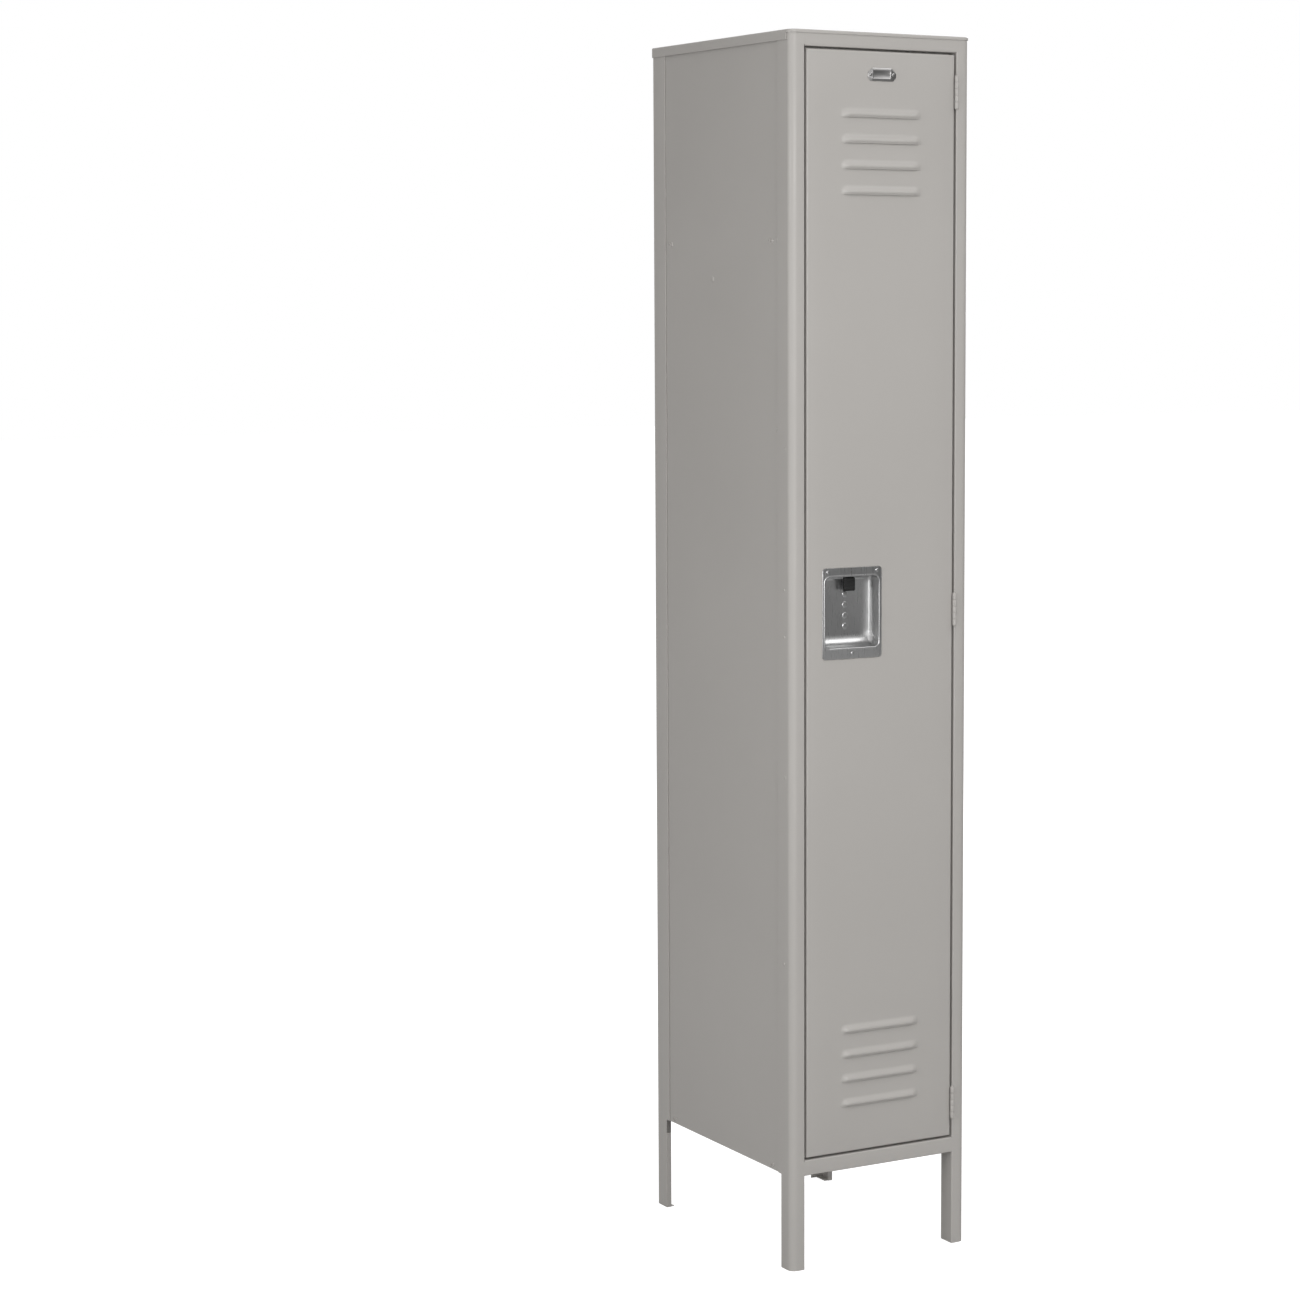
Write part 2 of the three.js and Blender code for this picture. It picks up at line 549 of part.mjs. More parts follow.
function louverHood(top) {
  const mouth = top - LOUVER_HEIGHT;
  const half = LOUVER_LENGTH / 2;
  const hood = [[FRONT + 1, top], [FRONT - LOUVER_OUT, mouth], [FRONT + 1, mouth]];
  const outside = prism('x', hood, -half, half);
  const skinBack = FRONT + DOOR_SHEET + 1;
  const inFront = FRONT - LOUVER_OUT + DOOR_SHEET;
  const hollow = [[skinBack, top - 3], [FRONT, top - 3], [inFront, mouth - 1], [skinBack, mouth - 1]];
  const inside = prism('x', hollow, -half + DOOR_SHEET, half - DOOR_SHEET);
  return { outside, inside };
}

function doorPanel() {
  const back = FRONT + DOOR_DEPTH;
  const outline = [
    [-DOOR_HALF + DOOR_RETURN, back],
    [-DOOR_HALF, back],
    [-DOOR_HALF, FRONT],
    [DOOR_HALF, FRONT],
    [DOOR_HALF, back],
    [DOOR_HALF - DOOR_RETURN, back],
  ];
  const bends = [BEND + 1, DOOR_BEND, DOOR_BEND, BEND + 1];
  const skin = prism('z', foldedSection(outline, bends, DOOR_SHEET, 1), DOOR_LOW, DOOR_HIGH);
  const edge = DOOR_HALF - DOOR_BEND;
  const caps = [[DOOR_LOW, DOOR_LOW + DOOR_SHEET], [DOOR_HIGH - DOOR_SHEET, DOOR_HIGH]];
  let door = join(skin, ...caps.map((z) => block([-edge, edge], [FRONT + 0.5, back], z)));

  for (const groupTop of LOUVER_GROUP_TOPS) {
    for (let i = 0; i < LOUVERS_IN_GROUP; i += 1) {
      const hood = louverHood(groupTop - i * LOUVER_PITCH);
      door = cut(join(door, hood.outside), hood.inside);
    }
  }

  const wall = POCKET.wall + CLEAR;
  const pocketX = [POCKET.x - POCKET.width / 2 - wall, POCKET.x + POCKET.width / 2 + wall];
  const pocketZ = [POCKET.z - POCKET.height / 2 - wall, POCKET.z + POCKET.height / 2 + wall];
  const pocketHole = block(pocketX, [FRONT - 1, FRONT + DOOR_SHEET + 1], pocketZ);
  const slots = Object.values(LATCH_HOOK_HEIGHTS).map((z) => {
    const slotX = [-DOOR_HALF + DOOR_SHEET, -DOOR_HALF + DOOR_RETURN - 2.5];
    const slotZ = [z - LATCH_HOOK.half - 2, z + LATCH_HOOK.half + 2];
    return block(slotX, [back - DOOR_SHEET - 1, back + 1], slotZ);
  });
  return cut(door, pocketHole, ...slots, ...doorRivetHoles());
}

const RIVETS = {
  number_plate_rivet_left: { x: -NUMBER_PLATE.rivet, z: NUMBER_PLATE.z },
  number_plate_rivet_right: { x: NUMBER_PLATE.rivet, z: NUMBER_PLATE.z },
  handle_rivet_left: { x: POCKET.x - 46, z: POCKET_FLANGE.z1 - 6.5 },
  handle_rivet_right: { x: POCKET.x + 46, z: POCKET_FLANGE.z1 - 6.5 },
  handle_screw: { x: POCKET.x, z: POCKET_FLANGE.z0 + 9 },
};

function doorRivetHoles() {
  return Object.values(RIVETS).map(({ x, z }) => rivetHole(x, z));
}

const POCKET_PLATE_FRONT = FRONT - CLEAR - POCKET.wall;
const NUMBER_PLATE_FRONT = FRONT - CLEAR - NUMBER_PLATE.thickness;

function numberPlate() {
  const halfWidth = NUMBER_PLATE.width / 2;
  const halfHeight = NUMBER_PLATE.height / 2;
  const earHeight = halfHeight - 5;
  const body = halfWidth - 9;
  const outline = [
    [-halfWidth, -earHeight], [-body, -earHeight], [-body, -halfHeight], [body, -halfHeight],
    [body, -earHeight], [halfWidth, -earHeight], [halfWidth, earHeight], [body, earHeight],
    [body, halfHeight], [-body, halfHeight], [-body, earHeight], [-halfWidth, earHeight],
  ].map(([x, z]) => [x, z + NUMBER_PLATE.z]);
  const plate = prism('y', outline, NUMBER_PLATE_FRONT, FRONT - CLEAR);
  const { number_plate_rivet_left: left, number_plate_rivet_right: right } = RIVETS;
  return cut(plate, rivetHole(left.x, left.z), rivetHole(right.x, right.z));
}

// The pocket's inside, seen from its side: open at the front, with a ramp that curves up to the back.
function pocketSection(grow) {
  const back = FRONT + POCKET.depth + grow;
  const low = POCKET.z - POCKET.height / 2 - grow;
  const high = POCKET.z + POCKET.height / 2 + grow;
  const start = FRONT + POCKET.depth - POCKET.ramp;
  const reach = POCKET.ramp + grow;
  const steps = 7;
  const curve = [];
  for (let i = 0; i <= steps; i += 1) {
    const angle = (Math.PI / 2) * (i / steps);
    curve.push([start + reach * Math.sin(angle), low + reach * (1 - Math.cos(angle))]);
  }
  return [...curve.filter(([y]) => y > FRONT - 1), [back, high], [FRONT - 3, high], [FRONT - 3, low]];
}

function handlePocket() {
  const half = POCKET.width / 2;
  const { wall } = POCKET;
  const cup = prism('x', pocketSection(wall), POCKET.x - half - wall, POCKET.x + half + wall);
  const inFrontOfPlate = block([POCKET.x - 80, POCKET.x + 80], [FRONT - 9, POCKET_PLATE_FRONT], [900, 1200]);
  const flangeX = [POCKET.x - POCKET_FLANGE.width / 2, POCKET.x + POCKET_FLANGE.width / 2];
  const flange = block(flangeX, [POCKET_PLATE_FRONT, FRONT - CLEAR], [POCKET_FLANGE.z0, POCKET_FLANGE.z1]);
  const hollow = prism('x', pocketSection(0), POCKET.x - half, POCKET.x + half);
  const padHalf = LIFT_PAD.width / 2 + 1.5;
  const slotDepth = [FRONT + LIFT_PAD.y0 - 1.5, FRONT + LIFT_PLATE.y1 + 1.5];
  const slot = block([POCKET.x - padHalf, POCKET.x + padHalf], slotDepth, [POCKET.z, POCKET.z + 80]);
  const dimples = [26, 10, -6, -22].map((rise) => (
    cylinder(3.5, 'y', [POCKET.x, FRONT + POCKET.depth - 0.3, POCKET.z + rise], 2)));
  const cupWithFlange = cut(join(cup, flange), inFrontOfPlate, hollow, slot);
  const { handle_rivet_left: left, handle_rivet_right: right, handle_screw: screw } = RIVETS;
  const holes = [left, right, screw].map(({ x, z }) => rivetHole(x, z));
  return cut(join(cupWithFlange, ...dimples), ...holes);
}

add('door_panel', 'paint', doorPanel());
add('number_plate', 'aluminium', numberPlate());
add('handle_pocket', 'stainless', handlePocket());
for (const [name, { x, z }] of Object.entries(RIVETS)) {
  const onPlate = name.startsWith('number') ? NUMBER_PLATE_FRONT : POCKET_PLATE_FRONT;
  add(name, name.startsWith('number') ? 'aluminium' : 'stainless', faceRivet(x, z, onPlate));
}

// ---------------------------------------------------------------- latch inside the door's free edge

const BAR_X = [across(-1, LATCH_BAR.inset), across(-1, LATCH_BAR.inset + LATCH_BAR.width)];
const CHANNEL_WEB = across(-1, LATCH_BAR.inset + LATCH_BAR.width + 4);

function latchChannel() {
  const back = FRONT + DOOR_DEPTH;
  const front = FRONT + DOOR_SHEET + CLEAR;
  const outline = [
    [-DOOR_HALF + DOOR_RETURN + CLEAR, back],
    [CHANNEL_WEB, back],
    [CHANNEL_WEB, front],
    [CHANNEL_WEB - 12, front],
  ];
  const section = foldedSection(outline, [BEND + 1, BEND + 1], BODY_SHEET, -1);
  const channel = prism('z', section, DOOR_LOW + DOOR_SHEET + 4, DOOR_HIGH - DOOR_SHEET - 4);
  const armDepth = [FRONT + LIFT_PLATE.y0 - 1.5, FRONT + LIFT_PLATE.y1 + 1.5];
  const armHeight = [LIFT_PLATE.armLow - 2, LIFT_PLATE.armHigh + LIFT_TRAVEL + 2];
  return cut(channel, block([CHANNEL_WEB - 3, CHANNEL_WEB + 3], armDepth, armHeight));
}

function latchBar() {
  const bar = block(BAR_X, [FRONT + LATCH_BAR.y0, FRONT + LATCH_BAR.y1], [LATCH_BAR.z0, LATCH_BAR.z1]);
  const lugDepth = [FRONT + LATCH_LUG.y0, FRONT + LATCH_LUG.y1];
  const lugs = Object.values(LATCH_HOOK_HEIGHTS).map((z) => {
    const low = z + LATCH_LUG.lift;
    return block([-DOOR_HALF + DOOR_SHEET + 1, BAR_X[1]], lugDepth, [low, low + LATCH_LUG.thickness]);
  });
  const catchLow = LIFT_PLATE.armHigh + CLEAR;
  const catchDepth = [FRONT + LATCH_BAR.y0, FRONT + LIFT_PLATE.y1 + 1];
  return join(bar, ...lugs, block(BAR_X, catchDepth, [catchLow, catchLow + 3]));
}

function barGuide(z) {
  const x = [BAR_X[0] - 1.2, CHANNEL_WEB - BODY_SHEET - CLEAR];
  const y = [FRONT + DOOR_SHEET + BODY_SHEET + 2 * CLEAR, FRONT + DOOR_DEPTH - DOOR_SHEET - 2 * CLEAR];
  const body = block(x, y, [z - 10, z + 10]);
  const play = 0.4;
  const slotX = [BAR_X[0] - play, BAR_X[1] + play];
  const slotY = [FRONT + LATCH_BAR.y0 - play, FRONT + LATCH_BAR.y1 + play];
  return cut(body, block(slotX, slotY, [z - 12, z + 12]));
}

add('latch_channel', 'paint', latchChannel());
add('latch_bar', 'zinc', latchBar());
for (const [place, z] of Object.entries(GUIDE_HEIGHTS)) {
  add(`latch_guide_${place}`, 'nylon', barGuide(z));
}

function liftPlate() {
  const y = [FRONT + LIFT_PLATE.y0, FRONT + LIFT_PLATE.y1];
  const half = LIFT_PLATE.tongueWidth / 2;
  const arm = block([BAR_X[0], POCKET.x + half], y, [LIFT_PLATE.armLow, LIFT_PLATE.armHigh]);
  const tongue = block([POCKET.x - half, POCKET.x + half], y, [LIFT_PAD.z0 + 2, LIFT_PLATE.armLow + 1]);
  return join(arm, tongue);
}

function liftPad() {
  const half = LIFT_PAD.width / 2;
  const front = FRONT + LIFT_PAD.y0;
  const back = FRONT + LIFT_PAD.y1;
  const { z0, z1 } = LIFT_PAD;
  const section = [
    [back, z0],
    [back, z1],
    [front + 2, z1],
    [front, z1 - 3],
    [front, z0 + 5],
    [front + 2.5, z0],
  ];
  return prism('x', section, POCKET.x - half, POCKET.x + half);
}

add('lift_slide_plate', 'zinc', liftPlate());
add('finger_lift', 'black_plastic', liftPad());

export default locker;
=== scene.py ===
"""A grey steel locker cabinet on four legs, dressed for rendering.

Metres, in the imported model's frame: X across the front, Y from the door to the back, Z up from the floor.
Folded sheet parts are drawn as open sheets along a path and then given their real thickness.
"""

import json
import math

import bmesh
import bpy
from mathutils import Matrix, Vector


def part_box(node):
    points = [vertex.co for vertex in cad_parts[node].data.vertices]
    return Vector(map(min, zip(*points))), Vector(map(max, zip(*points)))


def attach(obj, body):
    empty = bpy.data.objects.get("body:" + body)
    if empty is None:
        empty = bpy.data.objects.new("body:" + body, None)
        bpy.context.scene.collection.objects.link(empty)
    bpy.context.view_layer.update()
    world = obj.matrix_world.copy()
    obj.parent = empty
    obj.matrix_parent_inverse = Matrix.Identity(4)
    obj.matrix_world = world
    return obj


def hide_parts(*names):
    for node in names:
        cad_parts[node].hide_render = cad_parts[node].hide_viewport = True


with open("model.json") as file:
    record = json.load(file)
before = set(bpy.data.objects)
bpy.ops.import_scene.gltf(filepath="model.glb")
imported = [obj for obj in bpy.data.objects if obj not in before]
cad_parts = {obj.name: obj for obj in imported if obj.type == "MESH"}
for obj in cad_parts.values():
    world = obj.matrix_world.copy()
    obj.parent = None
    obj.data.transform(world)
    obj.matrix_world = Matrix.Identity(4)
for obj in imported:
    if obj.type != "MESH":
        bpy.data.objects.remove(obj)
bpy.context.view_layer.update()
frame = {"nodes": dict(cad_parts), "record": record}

# ---------------------------------------------------------------- camera, light, floor

SENSOR = 36.0
LENS = 87.34
LENS_SHIFT = (-0.124, -0.03)
CAMERA_PLACE = Vector((-2.676, -4.504, 1.563))
CAMERA_YAW = math.radians(-30.76)
CAMERA_PITCH = math.radians(90 - 5.65)
FLOOR_GLOW = 0.88
FLOOR_REACH = 30.0


def add_camera():
    camera = bpy.data.objects.new("camera", bpy.data.cameras.new("camera"))
    bpy.context.scene.collection.objects.link(camera)
    camera.data.sensor_width = SENSOR
    camera.data.lens = LENS
    camera.data.shift_x, camera.data.shift_y = LENS_SHIFT
    camera.location = CAMERA_PLACE
    camera.rotation_euler = (CAMERA_PITCH, 0, CAMERA_YAW)
    bpy.context.scene.camera = camera


def add_softbox(name, place, aim, size, power):
    data = bpy.data.lights.new(name, "AREA")
    data.shape = "RECTANGLE"
    data.size, data.size_y = size
    data.energy = power
    lamp = bpy.data.objects.new(name, data)
    bpy.context.scene.collection.objects.link(lamp)
    lamp.location = place
    lamp.rotation_euler = (Vector(aim) - Vector(place)).to_track_quat("-Z", "Y").to_euler()


def add_surroundings(seen, horizon, zenith):
    """White to look at; as a source of light it is dim at the horizon and bright overhead."""
    world = bpy.data.worlds.new("studio")
    bpy.context.scene.world = world
    world.use_nodes = True
    nodes, links = world.node_tree.nodes, world.node_tree.links
    nodes.clear()
    output = nodes.new("ShaderNodeOutputWorld")
    background = nodes.new("ShaderNodeBackground")
    direction = nodes.new("ShaderNodeTexCoord")
    axes = nodes.new("ShaderNodeSeparateXYZ")
    height = nodes.new("ShaderNodeMapRange")
    height.interpolation_type = "SMOOTHSTEP"
    height.inputs["From Min"].default_value = 0.0
    height.inputs["From Max"].default_value = 0.75
    height.inputs["To Min"].default_value = horizon
    height.inputs["To Max"].default_value = zenith
    path = nodes.new("ShaderNodeLightPath")
    choice = nodes.new("ShaderNodeMix")
    choice.inputs["B"].default_value = seen
    background.inputs["Color"].default_value = (1, 1, 1, 1)
    links.new(direction.outputs["Generated"], axes.inputs["Vector"])
    links.new(axes.outputs["Z"], height.inputs["Value"])
    links.new(height.outputs["Result"], choice.inputs["A"])
    links.new(path.outputs["Is Camera Ray"], choice.inputs["Factor"])
    links.new(choice.outputs["Result"], background.inputs["Strength"])
    links.new(background.outputs["Background"], output.inputs["Surface"])


def add_floor():
    """A pale floor that meets the white behind it without a line: to the camera it also glows a little."""
    corners = [(x * FLOOR_REACH, y * FLOOR_REACH, 0) for x, y in ((-1, -1), (1, -1), (1, 1), (-1, 1))]
    mesh = bpy.data.meshes.new("floor")
    mesh.from_pydata(corners, [], [range(4)])
    floor = bpy.data.objects.new("floor", mesh)
    bpy.context.scene.collection.objects.link(floor)
    material = bpy.data.materials.new("floor")
    material.use_nodes = True
    nodes, links = material.node_tree.nodes, material.node_tree.links
    shader = nodes["Principled BSDF"]
    shader.inputs["Base Color"].default_value = (0.42, 0.42, 0.42, 1)
    shader.inputs["Roughness"].default_value = 0.9
    shader.inputs["Specular IOR Level"].default_value = 0.1
    shader.inputs["Emission Color"].default_value = (1, 1, 1, 1)
    path = nodes.new("ShaderNodeLightPath")
    glow = nodes.new("ShaderNodeMapRange")
    glow.inputs["To Max"].default_value = FLOOR_GLOW
    links.new(path.outputs["Is Camera Ray"], glow.inputs["Value"])
    links.new(glow.outputs["Result"], shader.inputs["Emission Strength"])
    mesh.materials.append(material)


bpy.context.scene.view_settings.view_transform = "Standard"
add_camera()
add_surroundings(seen=1.0, horizon=0.10, zenith=0.70)
add_softbox("key", (-0.9, -3.6, 1.8), (0, -0.2, 1.3), (1.8, 1.8), 67)
add_softbox("fill", (-3.6, -0.9, 1.7), (0, 0, 1.2), (1.6, 2.0), 45)
add_softbox("top", (1.5, -2.2, 3.9), (0, -0.2, 1.1), (2.4, 1.6), 28)
add_softbox("back", (2.8, 3.6, 2.6), (0, 0.1, 1.1), (2.0, 2.4), 70)
add_floor()

# ---------------------------------------------------------------- sheet sizes, and places read off the model

CLEAR = 0.0003                      # gap between two pieces that touch
FRAME_SHEET = 0.0015
BODY_SHEET = 0.0010
COVER_SHEET = 0.0012
FACE = 0.0254
BEND = 0.0020                       # outer radius of a sharp fold in the frame's sheet
TIGHT_BEND = 0.0008                 # inner radius of a fold
CORNER_RADIUS = 0.0120              # the frame's rounded outer corners
STRIKE_DEPTH = 0.0220               # from the frame's face back to the strip the door closes on
STRIKE_LIP = 0.0100
LEG_DEPTH = 0.0320                  # the legs are narrower than the posts above them
SOFT = {"frame": 0.0004, "door": 0.0003, "kept": 0.0003, "thin": 0.0002, "small": 0.0001}   # edge rounding

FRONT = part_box("frame_post_left")[0].y
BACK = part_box("rear_post_left")[1].y
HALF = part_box("frame_post_right")[1].x
POST_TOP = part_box("frame_post_left")[1].z
POST_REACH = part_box("frame_post_left")[1].y
REAR_POST_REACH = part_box("rear_post_left")[0].y
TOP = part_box("top_cover")[1].z
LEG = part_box("side_panel_left")[0].z
RAIL_LOW = LEG + FACE               # edges of the door opening
RAIL_HIGH = TOP - FACE
DOOR_LOW, DOOR_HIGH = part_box("door_panel")
JAMB = HALF - FACE
PANEL = -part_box("side_panel_left")[0].x     # outer face of the right side panel

# ---------------------------------------------------------------- mesh helpers


def merged(bm, distance=1e-6):
    bmesh.ops.remove_doubles(bm, verts=bm.verts, dist=distance)
    return bm


def rounded_path(corners, steps=8):
    """Points along an open path of (a, b, radius) corners, each rounded with an arc."""
    points = []
    for i, (a, b, radius) in enumerate(corners):
        corner = Vector((a, b))
        if radius <= 0 or i in (0, len(corners) - 1):
            points.append(corner)
            continue
        to_last = (Vector(corners[i - 1][:2]) - corner).normalized()
        to_next = (Vector(corners[i + 1][:2]) - corner).normalized()
        half = math.acos(max(-1, min(1, to_last.dot(to_next)))) / 2
        centre = corner + (to_last + to_next).normalized() * (radius / math.sin(half))
        start = corner + to_last * (radius / math.tan(half)) - centre
        end = corner + to_next * (radius / math.tan(half)) - centre
        sweep = start.angle_signed(end)
        for step in range(steps + 1):
            turn = -sweep * step / steps
            points.append(centre + Vector((
                start.x * math.cos(turn) - start.y * math.sin(turn),
                start.x * math.sin(turn) + start.y * math.cos(turn),
            )))
    return points


def quarter_turn(steps):
    """Angles from 0 to a right angle."""
    return [math.pi / 2 * i / steps for i in range(steps + 1)]


def along_z(a, b, row):
    return Vector((a, b, row))


def along_x(a, b, row):
    return Vector((row, a, b))


def sheet_cells(bm, path, rows, place, removed=None):
    """Quads between neighbouring points of a path and neighbouring rows, less the removed ones."""
    grid = [[bm.verts.new(place(p.x, p.y, row)) for p in path] for row in rows]
    for j in range(len(rows) - 1):
        for i in range(len(path) - 1):
            middle = (path[i] + path[i + 1]) / 2
            if removed and removed(middle.x, middle.y, (rows[j] + rows[j + 1]) / 2):
                continue
            bm.faces.new((grid[j][i], grid[j][i + 1], grid[j + 1][i + 1], grid[j + 1][i]))


def box_cells(bm, low, high):
    """A closed box between two corners."""
    x, y, z = zip(low, high)
    corners = [bm.verts.new((x[i & 1], y[i >> 1 & 1], z[i >> 2])) for i in range(8)]
    for face in ((0, 2, 3, 1), (4, 5, 7, 6), (0, 1, 5, 4), (2, 6, 7, 3), (0, 4, 6, 2), (1, 3, 7, 5)):
        bm.faces.new([corners[i] for i in face])


def ring_cells(bm, rings, closed_start=False, closed_end=False, removed=None):
    """Quads between neighbouring closed rings of equally many points."""
    made = [[bm.verts.new(point) for point in ring] for ring in rings]
    count = len(made[0])
    for first, second in zip(made, made[1:]):
        for i in range(count):
            corners = (first[i], first[(i + 1) % count], second[(i + 1) % count], second[i])
            middle = sum((v.co for v in corners), Vector()) / 4
            if removed and removed(middle):
                continue
            bm.faces.new(corners)
    if closed_start:
        bm.faces.new(reversed(made[0]))
    if closed_end:
        bm.faces.new(made[-1])
    return made


def drop_loose(bm):
    bmesh.ops.delete(bm, geom=[v for v in bm.verts if not v.link_faces], context="VERTS")


def object_from(name, bm, mirror=False):
    if mirror:
        bmesh.ops.transform(bm, matrix=Matrix.Diagonal((-1, 1, 1, 1)), verts=bm.verts)
        bmesh.ops.reverse_faces(bm, faces=bm.faces)
    mesh = bpy.data.meshes.new(name)
    bm.to_mesh(mesh)
    bm.free()
    obj = bpy.data.objects.new(name, mesh)
    bpy.context.scene.collection.objects.link(obj)
    return obj


def joined(name, objects):
    """One object from several."""
    bm = bmesh.new()
    for obj in objects:
        bm.from_mesh(obj.data)
        mesh = obj.data
        bpy.data.objects.remove(obj)
        bpy.data.meshes.remove(mesh)
    return object_from(name, bm)


def face_outward(obj):
    bm = bmesh.new()
    bm.from_mesh(obj.data)
    bmesh.ops.recalc_face_normals(bm, faces=bm.faces)
    bm.to_mesh(obj.data)
    bm.free()
    return obj


def applied(obj):
    """Bakes the object's modifiers into its mesh and turns its faces outward."""
    bpy.context.view_layer.update()
    evaluated = obj.evaluated_get(bpy.context.evaluated_depsgraph_get())
    mesh = bpy.data.meshes.new_from_object(evaluated)
    obj.modifiers.clear()
    old = obj.data
    obj.data = mesh
    bpy.data.meshes.remove(old)
    return face_outward(obj)


def thicken(obj, thickness, to_left, even=True):
    """Gives an open sheet its thickness, to the left of its path or to the right."""
    solidify = obj.modifiers.new("thickness", "SOLIDIFY")
    solidify.thickness = thickness
    solidify.offset = -1 if to_left else 1
    solidify.use_even_offset = even
    solidify.use_quality_normals = True
    return applied(obj)


def soften(obj, width=SOFT["frame"], segments=2, angle=35):
    """Rounds the piece's hard edges and shades the rest smoothly."""
    for polygon in obj.data.polygons:
        polygon.use_smooth = True
    bevel = obj.modifiers.new("soft_edges", "BEVEL")
    bevel.width = width
    bevel.segments = segments
    bevel.limit_method = "ANGLE"
    bevel.angle_limit = math.radians(angle)
    bevel.use_clamp_overlap = True
    bevel.harden_normals = True
    return obj


def dress(obj, body, slot, material, *nodes):
    """Says what a finished piece moves with, is made of and stands for."""
    obj.data.materials.clear()
    obj.data.materials.append(material)
    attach(obj, body)
    if nodes:
        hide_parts(*nodes)
    return obj


# ---------------------------------------------------------------- materials


class Surface:
    """A principled material. Its colour, roughness and bump come from noise in the piece's own space."""

    def __init__(self, name, colour, roughness, metallic=0.0):
        self.material = bpy.data.materials.new(name)
        self.material.use_nodes = True
        self.tree = self.material.node_tree
        self.shader = self.tree.nodes["Principled BSDF"]
        self.shader.inputs["Metallic"].default_value = metallic
        self.coords = self.tree.nodes.new("ShaderNodeTexCoord").outputs["Object"]
        self.colour = None
        self.base = (*colour, 1)
        self.roughness = None
        self.base_roughness = roughness
        self.normal = None

    def link(self, source, target):
        self.tree.links.new(source, target)

    def noise(self, scale, detail=2.0, rough=0.5, stretch=(1, 1, 1)):
        mapping = self.tree.nodes.new("ShaderNodeMapping")
        mapping.inputs["Scale"].default_value = stretch
        texture = self.tree.nodes.new("ShaderNodeTexNoise")
        texture.inputs["Scale"].default_value = scale
        texture.inputs["Detail"].default_value = detail
        texture.inputs["Roughness"].default_value = rough
        self.link(self.coords, mapping.inputs["Vector"])
        self.link(mapping.outputs["Vector"], texture.inputs["Vector"])
        return texture.outputs["Fac"]

    def ranged(self, value, low, high, from_low=0.0, from_high=1.0):
        node = self.tree.nodes.new("ShaderNodeMapRange")
        node.inputs["From Min"].default_value = from_low
        node.inputs["From Max"].default_value = from_high
        node.inputs["To Min"].default_value = low
        node.inputs["To Max"].default_value = high
        self.link(value, node.inputs["Value"])
        return node.outputs["Result"]

    def tint(self, factor, colour, blend="MIX"):
        """Mixes another colour over what is there, by a factor socket."""
        node = self.tree.nodes.new("ShaderNodeMix")
        node.data_type = "RGBA"
        node.blend_type = blend
        if self.colour is None:
            node.inputs["A"].default_value = self.base
        else:
            self.link(self.colour, node.inputs["A"])
        node.inputs["B"].default_value = (*colour, 1)
        self.link(factor, node.inputs["Factor"])
        self.colour = node.outputs["Result"]
        return self

    def vary(self, scale, amount, detail=2.0, stretch=(1, 1, 1)):
        """Lightens and darkens the colour softly, in patches of about 1/scale metres."""
        noise = self.noise(scale, detail, stretch=stretch)
        self.tint(self.ranged(noise, 0.0, amount, 0.5, 0.75), [min(1, c * 1.25) for c in self.base[:3]])
        self.tint(self.ranged(noise, 0.0, amount, 0.5, 0.25), [c * 0.75 for c in self.base[:3]])
        return self

    def edges(self, radius, colour, amount):
        """Lightens the colour along edges, partly as wear and partly as a painted highlight: where the
        rounded normal leaves the true one, broken up by noise.
        """
        rounded = self.tree.nodes.new("ShaderNodeBevel")
        rounded.samples = 4
        rounded.inputs["Radius"].default_value = radius
        geometry = self.tree.nodes.new("ShaderNodeNewGeometry")
        dot = self.tree.nodes.new("ShaderNodeVectorMath")
        dot.operation = "DOT_PRODUCT"
        self.link(rounded.outputs["Normal"], dot.inputs[0])
        self.link(geometry.outputs["Normal"], dot.inputs[1])
        edge = self.ranged(dot.outputs["Value"], 1.0, 0.0, 0.80, 0.99)
        patchy = self.ranged(self.noise(60, 4), 0.0, amount, 0.35, 0.65)
        product = self.tree.nodes.new("ShaderNodeMath")
        product.operation = "MULTIPLY"
        self.link(edge, product.inputs[0])
        self.link(patchy, product.inputs[1])
        # the lighter edge colour is some wear and a painted highlight along the edges
        return self.tint(product.outputs["Value"], colour)

    def gloss(self, scale, amount, stretch=(1, 1, 1)):
        """Varies the roughness."""
        noise = self.noise(scale, 3.0, stretch=stretch)
        self.roughness = self.ranged(
            noise, self.base_roughness - amount, self.base_roughness + amount, 0.3, 0.7)
        return self

    def bump(self, scale, distance, strength=1.0, detail=2.0, stretch=(1, 1, 1)):
        node = self.tree.nodes.new("ShaderNodeBump")
        node.inputs["Strength"].default_value = strength
        node.inputs["Distance"].default_value = distance
        self.link(self.noise(scale, detail, stretch=stretch), node.inputs["Height"])
        if self.normal is not None:
            self.link(self.normal, node.inputs["Normal"])
        self.normal = node.outputs["Normal"]
        return self

    def done(self):
        if self.colour is None:
            self.shader.inputs["Base Color"].default_value = self.base
        else:
            self.link(self.colour, self.shader.inputs["Base Color"])
        if self.roughness is None:
            self.shader.inputs["Roughness"].default_value = self.base_roughness
        else:
            self.link(self.roughness, self.shader.inputs["Roughness"])
        if self.normal is not None:
            self.link(self.normal, self.shader.inputs["Normal"])
        return self.material


def painted_steel(name, colour):
    surface = Surface(name, colour, 0.46)
    surface.vary(2.2, 0.10).vary(900, 0.05)
    # lighter edges: some wear, and a painted highlight along them
    surface.edges(0.0012, [min(1, c * 1.45) for c in colour], 0.35)
    surface.gloss(7, 0.05)
    surface.bump(5, 0.0016, 0.35, detail=1.0)       # slight waviness of a big sheet
    surface.bump(520, 0.00004, 0.6)                 # orange peel
    return surface.done()


def metal(name, colour, roughness, grain, stretch, edge_wear_and_highlight=0.25):
    surface = Surface(name, colour, roughness, metallic=1.0)
    surface.vary(30, 0.12).vary(grain, 0.07, stretch=stretch)
    # lighter edges: some wear, and a painted highlight along them
    surface.edges(0.0008, [min(1, c * 1.35) for c in colour], edge_wear_and_highlight)
    surface.gloss(grain, 0.04, stretch)
    surface.bump(grain, 0.00001, 0.4, stretch=stretch)
    return surface.done()


